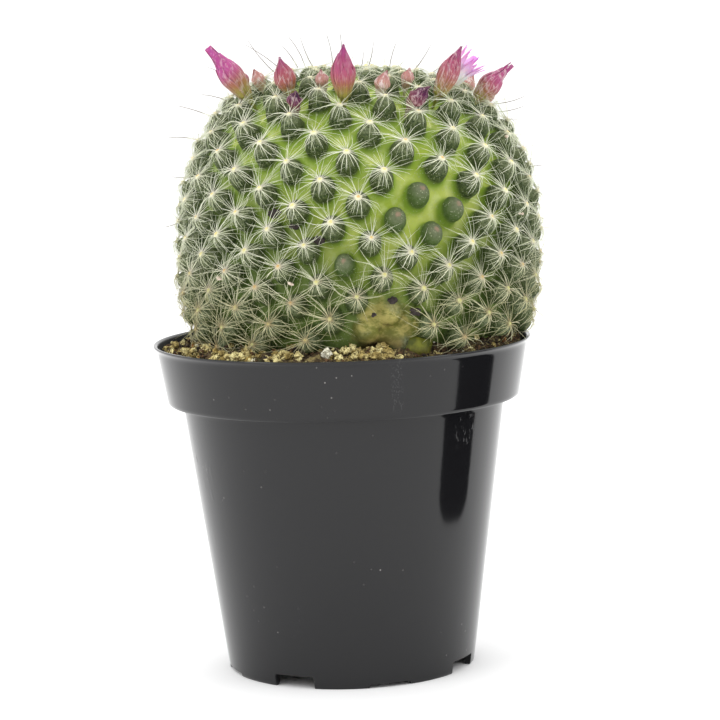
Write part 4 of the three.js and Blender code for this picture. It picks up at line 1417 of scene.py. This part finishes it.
def tepalFinish(look):
    finish = Finish(look["finish"], look["fixed"])
    along, across, chance, faded = (finish.attribute(part) for part in ("along", "across", "chance", "pale"))
    tint = finish.ramp(along + (finish.noise(500) - 0.5) * 0.12, look["stops"])
    rib = (across * 17 + chance * 6).sine()
    rib = finish.between(rib, 0.1, 1.0) * finish.between(along, 0.25, 0.55)
    colour = finish.mix(rib * look["veins"], tint, tepals["veins"])
    colour = finish.mix(finish.between(abs(across), 0.74, 1.0) * faded * 0.17, colour, tepals["edges"])
    tone = finish.attribute("tone") * finish.between(along, 0.45, 0.7)
    colour = finish.mix(tone * 0.75, colour, finish.mix(finish.noise(420, 4, 0.6), *tepals["tones"]))
    streaks = finish.between(finish.noise((1300, 1300, 420), 4, 0.7), 0.50, 0.63)
    colour = finish.mix(streaks * faded * look["flecks"], colour, tepals["streaks"])
    finish.feed("Base Color", colour)
    finish.feed("Roughness", 0.42 + finish.noise(700, 2) * 0.15)
    finish.bump(rib + finish.noise(1500) * 0.6, 0.4, 0.0002)
    return finish.material


budFinishes = {stage: tepalFinish(look) for stage, look in stages.items()}


def makeBud(bud):
    chance = random.Random(bud["axil"])
    budPath = budLine(bud)
    stage = stages[bud["stage"]]
    sheets = []
    turn = chance.uniform(0, 6.28)
    for layer, count in enumerate(reversed(stage["layers"])):
        for place in range(count):
            angle = turn + place * 2 * math.pi / count + layer * 0.7 + chance.uniform(-0.1, 0.1)
            start = tepals["start"] + 0.05 * chance.random() + tepals["outerStart"] * layer
            end = (tepals["end"] + tepals["outerEnd"] * layer) * chance.uniform(0.97, 1.0)
            spread = math.pi / count * tepals["overlap"]
            sheets.append(tepalSheet(budPath, bud, angle, start, end, spread, layer, chance.uniform(0, 9)))
    sheets.append(budHeart(budPath, bud))
    piece = joinPieces(sheets)
    applyModifier(piece, "SOLIDIFY", thickness=tepals["thick"], offset=-1)
    if bud["stage"] == "dried":
        crease(piece)
    name = bud["node"] + "_tepals"
    finishPiece(piece, name, plantPlace, budFinishes[bud["stage"]], [bud["node"]])


def crease(piece):  # a withered flower is creased all over
    points = pointsOf(piece)
    shifts = [noise.noise_vector(Vector(point) * 0.9) for point in points]
    movePoints(piece, points + np.array(shifts) * tepals["creased"])


def makeFlower(bud):
    chance = random.Random(bud["axil"])
    budPath = budLine(bud)
    tube = dict(bud, wide=tepals["tubeWide"], beak=tepals["tubeTop"])
    sheets = [budHeart(budPath, tube)]
    for ring, (count, reach, flare) in enumerate(stages["open"]["layers"]):
        for place in range(count):
            sheet, across, along = flatSheet(4)
            end = reach * chance.uniform(0.92, 1.0)
            share = tepals["petalStart"] + (end - tepals["petalStart"]) * along
            around = (place + ring * 0.37) * 2 * math.pi / count + chance.uniform(-0.12, 0.12)
            outward = 1.5 + (bud["wide"] / 2 - 1.5) * flare * 1.5 * along ** 1.3 - 0.25 * ring
            half = tepals["petalWide"] * np.clip(1 - along ** 3, 0.05, 1)
            angle = around + across * half / np.maximum(outward, 0.6)
            cup = 0.12 * across ** 2
            movePoints(sheet, onLine(budPath, share, angle, outward + cup))
            describe(sheet, along=share + 0.05, across=across, chance=chance.random(), tone=0.0, pale=1.0)
            sheets.append(sheet)
    piece = joinPieces(sheets)
    applyModifier(piece, "SOLIDIFY", thickness=tepals["petalThick"], offset=0)
    finishPiece(piece, "open_flower_petals", plantPlace, budFinishes["open"], ["open_flower"])


for bud in buds:
    if bud["stage"] == "open":
        makeFlower(bud)
    else:
        makeBud(bud)


# Soil: potting mix that fills the pot, with bark, chips and crumbs lying on it

def brownMix():
    finish = Finish("potting_mix", {"Roughness": 0.95})
    shade = finish.node("ShaderNodeSeparateColor", {}, {0: finish.cells(900, output=1)})
    colour = finish.mix(shade, *soil["brown"])
    pale = finish.between(finish.noise(420, 4, 0.7), 0.52, 0.62) * 0.8
    colour = finish.mix(pale, colour, soil["pale"])
    mossy = finish.between(finish.noise(130), 0.6, 0.7) * 0.5
    finish.feed("Base Color", finish.mix(mossy, colour, soil["mossy"]))
    finish.bump(finish.cells(900) + finish.noise(1600, 4), 1.0, 0.0009)
    return finish.material


def makeSoil():
    outside, inside, rings = soil["outside"], soil["inside"], soil["rings"]
    walls = soil["walls"] + [(outside, soil["middle"] - 1)]
    top = [(outside + (inside - outside) * ring / (rings - 1), soil["middle"]) for ring in range(rings)]
    piece = turnedPiece(walls + top, soil["sides"], walls[0][1])
    points = pointsOf(piece)
    radius = np.hypot(points[:, 0], points[:, 1])
    for index in np.where(points[:, 2] > soil["middle"] - 0.5)[0]:
        x, y = points[index, 0], points[index, 1]
        drop = float(smoothStep(inside + 3, inside, radius[index])) * soil["sinks"]
        points[index, 2] = loamHeight(x, y) - drop
    movePoints(piece, points)
    finishPiece(piece, "soil_mix", potPlace, brownMix(), ["soil"])


chips = {
    "kinds": [  # name, how many, smallest and largest size in mm, flatness, colours
        ("bark_bits", 800, (0.6, 2.0), 0.5, ((0.03, 0.018, 0.009), (0.17, 0.09, 0.035))),
        ("straw_chips", 470, (0.7, 2.5), 0.85, ((0.36, 0.25, 0.055), (1.0, 0.90, 0.45))),
        ("pale_grains", 50, (0.6, 1.3), 0.85, ((0.78, 0.72, 0.48), (0.94, 0.91, 0.74))),
        ("rust_bits", 70, (0.6, 1.6), 0.6, ((0.24, 0.09, 0.02), (0.50, 0.26, 0.07))),
    ],
    "outermost": 43.2,  # where they lie, from the pot's axis
    "ringWide": 12.5,
    "keptIn": 42.6,
    "heaps": {  # turn and spread of each heap in front
        "straw_chips": [(-61, 4), (-47, 1.5), (-34, 2), (-21.5, 3), (2, 3), (8, 4), (14, 3)],
        "rust_bits": [(-72, 4), (-67, 3)],
    },
    "heapShare": 0.42,
    "heapAway": (36.5, 42),
    "barePart": (20, 85),  # turns where the pale chips lie thinly
    "bareShare": 0.65,
    "whiteChip": {"turn": -4.9, "away": 41.0, "size": 2.3, "lift": 1.3, "tall": 1.25},
    "shapes": 6,
    "rough": (0.27, 0.15),  # before and after they are subdivided
    "seed": 8,
}


def chipFinish(name, low, high):
    finish = Finish(name, {"Roughness": 0.9})
    tint = finish.mix(finish.attribute("chance"), low, high)
    shade = finish.between(finish.noise(1300, 4, 0.7), 0.42, 0.62)
    finish.feed("Base Color", finish.mix(shade, tint, [part * 0.35 for part in low]))
    finish.bump(finish.noise(2200, 4), 0.9, 0.0005)
    return finish.material


def chipShapes():
    shapes = []
    coarse, fine = chips["rough"]
    for shape in range(chips["shapes"]):
        chip = addNew(bpy.ops.mesh.primitive_ico_sphere_add, subdivisions=1, radius=0.5)
        bpy.ops.object.mode_set(mode="EDIT")
        bpy.ops.transform.vertex_random(offset=coarse, seed=shape + 3)
        bpy.ops.mesh.subdivide(number_cuts=1, smoothness=0)
        bpy.ops.transform.vertex_random(offset=fine, seed=shape + 9)
        bpy.ops.object.mode_set(mode="OBJECT")
        shapes.append(chip)
    return shapes


def makeChips():
    chance = random.Random(chips["seed"])
    white = chips["whiteChip"]
    least, most = chips["barePart"]
    for kind, count, sizes, flat, (low, high) in chips["kinds"]:
        shapes = chipShapes()
        parts = []
        for number in range(count):
            turn = chance.uniform(0, 360)
            radius = chips["outermost"] - chips["ringWide"] * chance.random() ** 1.25
            if kind in chips["heaps"] and chance.random() < chips["heapShare"]:
                heap, spread = chance.choice(chips["heaps"][kind])
                turn, radius = chance.gauss(heap, spread * 0.6), chance.uniform(*chips["heapAway"])
            if kind == "straw_chips" and least < turn < most and chance.random() < chips["bareShare"]:
                continue
            size = chance.uniform(*sizes) * (0.75 if chance.random() < 0.5 else 1)
            shade, lift, tall = chance.random(), 0.0, flat
            if kind == "pale_grains" and number == 0:
                turn, radius, size, shade = white["turn"], white["away"], white["size"], 1.0
                lift, tall = white["lift"], white["tall"]
            tilt = Matrix.Rotation(chance.gauss(0, 0.6), 4, "X")
            tilt = tilt @ Matrix.Rotation(chance.gauss(0, 0.6), 4, "Y")
            spin = Matrix.Rotation(chance.uniform(0, 6.28), 4, "Z")
            shape = Matrix.Diagonal((size * chance.uniform(0.8, 1.5), size * 0.8, size * tall, 1))
            way = headingAt(turn, 90) * min(radius, chips["keptIn"] - size * 0.55)
            level = loamHeight(way.x, way.y) + size * flat * chance.uniform(0.1, 0.5) + lift
            part = copyOf(shapes[number % len(shapes)])
            part.data.transform(Matrix.Translation((way.x, way.y, level)) @ spin @ tilt @ shape)
            addAttribute(part, "chance", shade)
            parts.append(part)
        for shape in shapes:
            bpy.data.objects.remove(shape)
        finishPiece(joinPieces(parts), kind, potPlace, chipFinish(kind, low, high), smooth=False)


makeSoil()
makeChips()
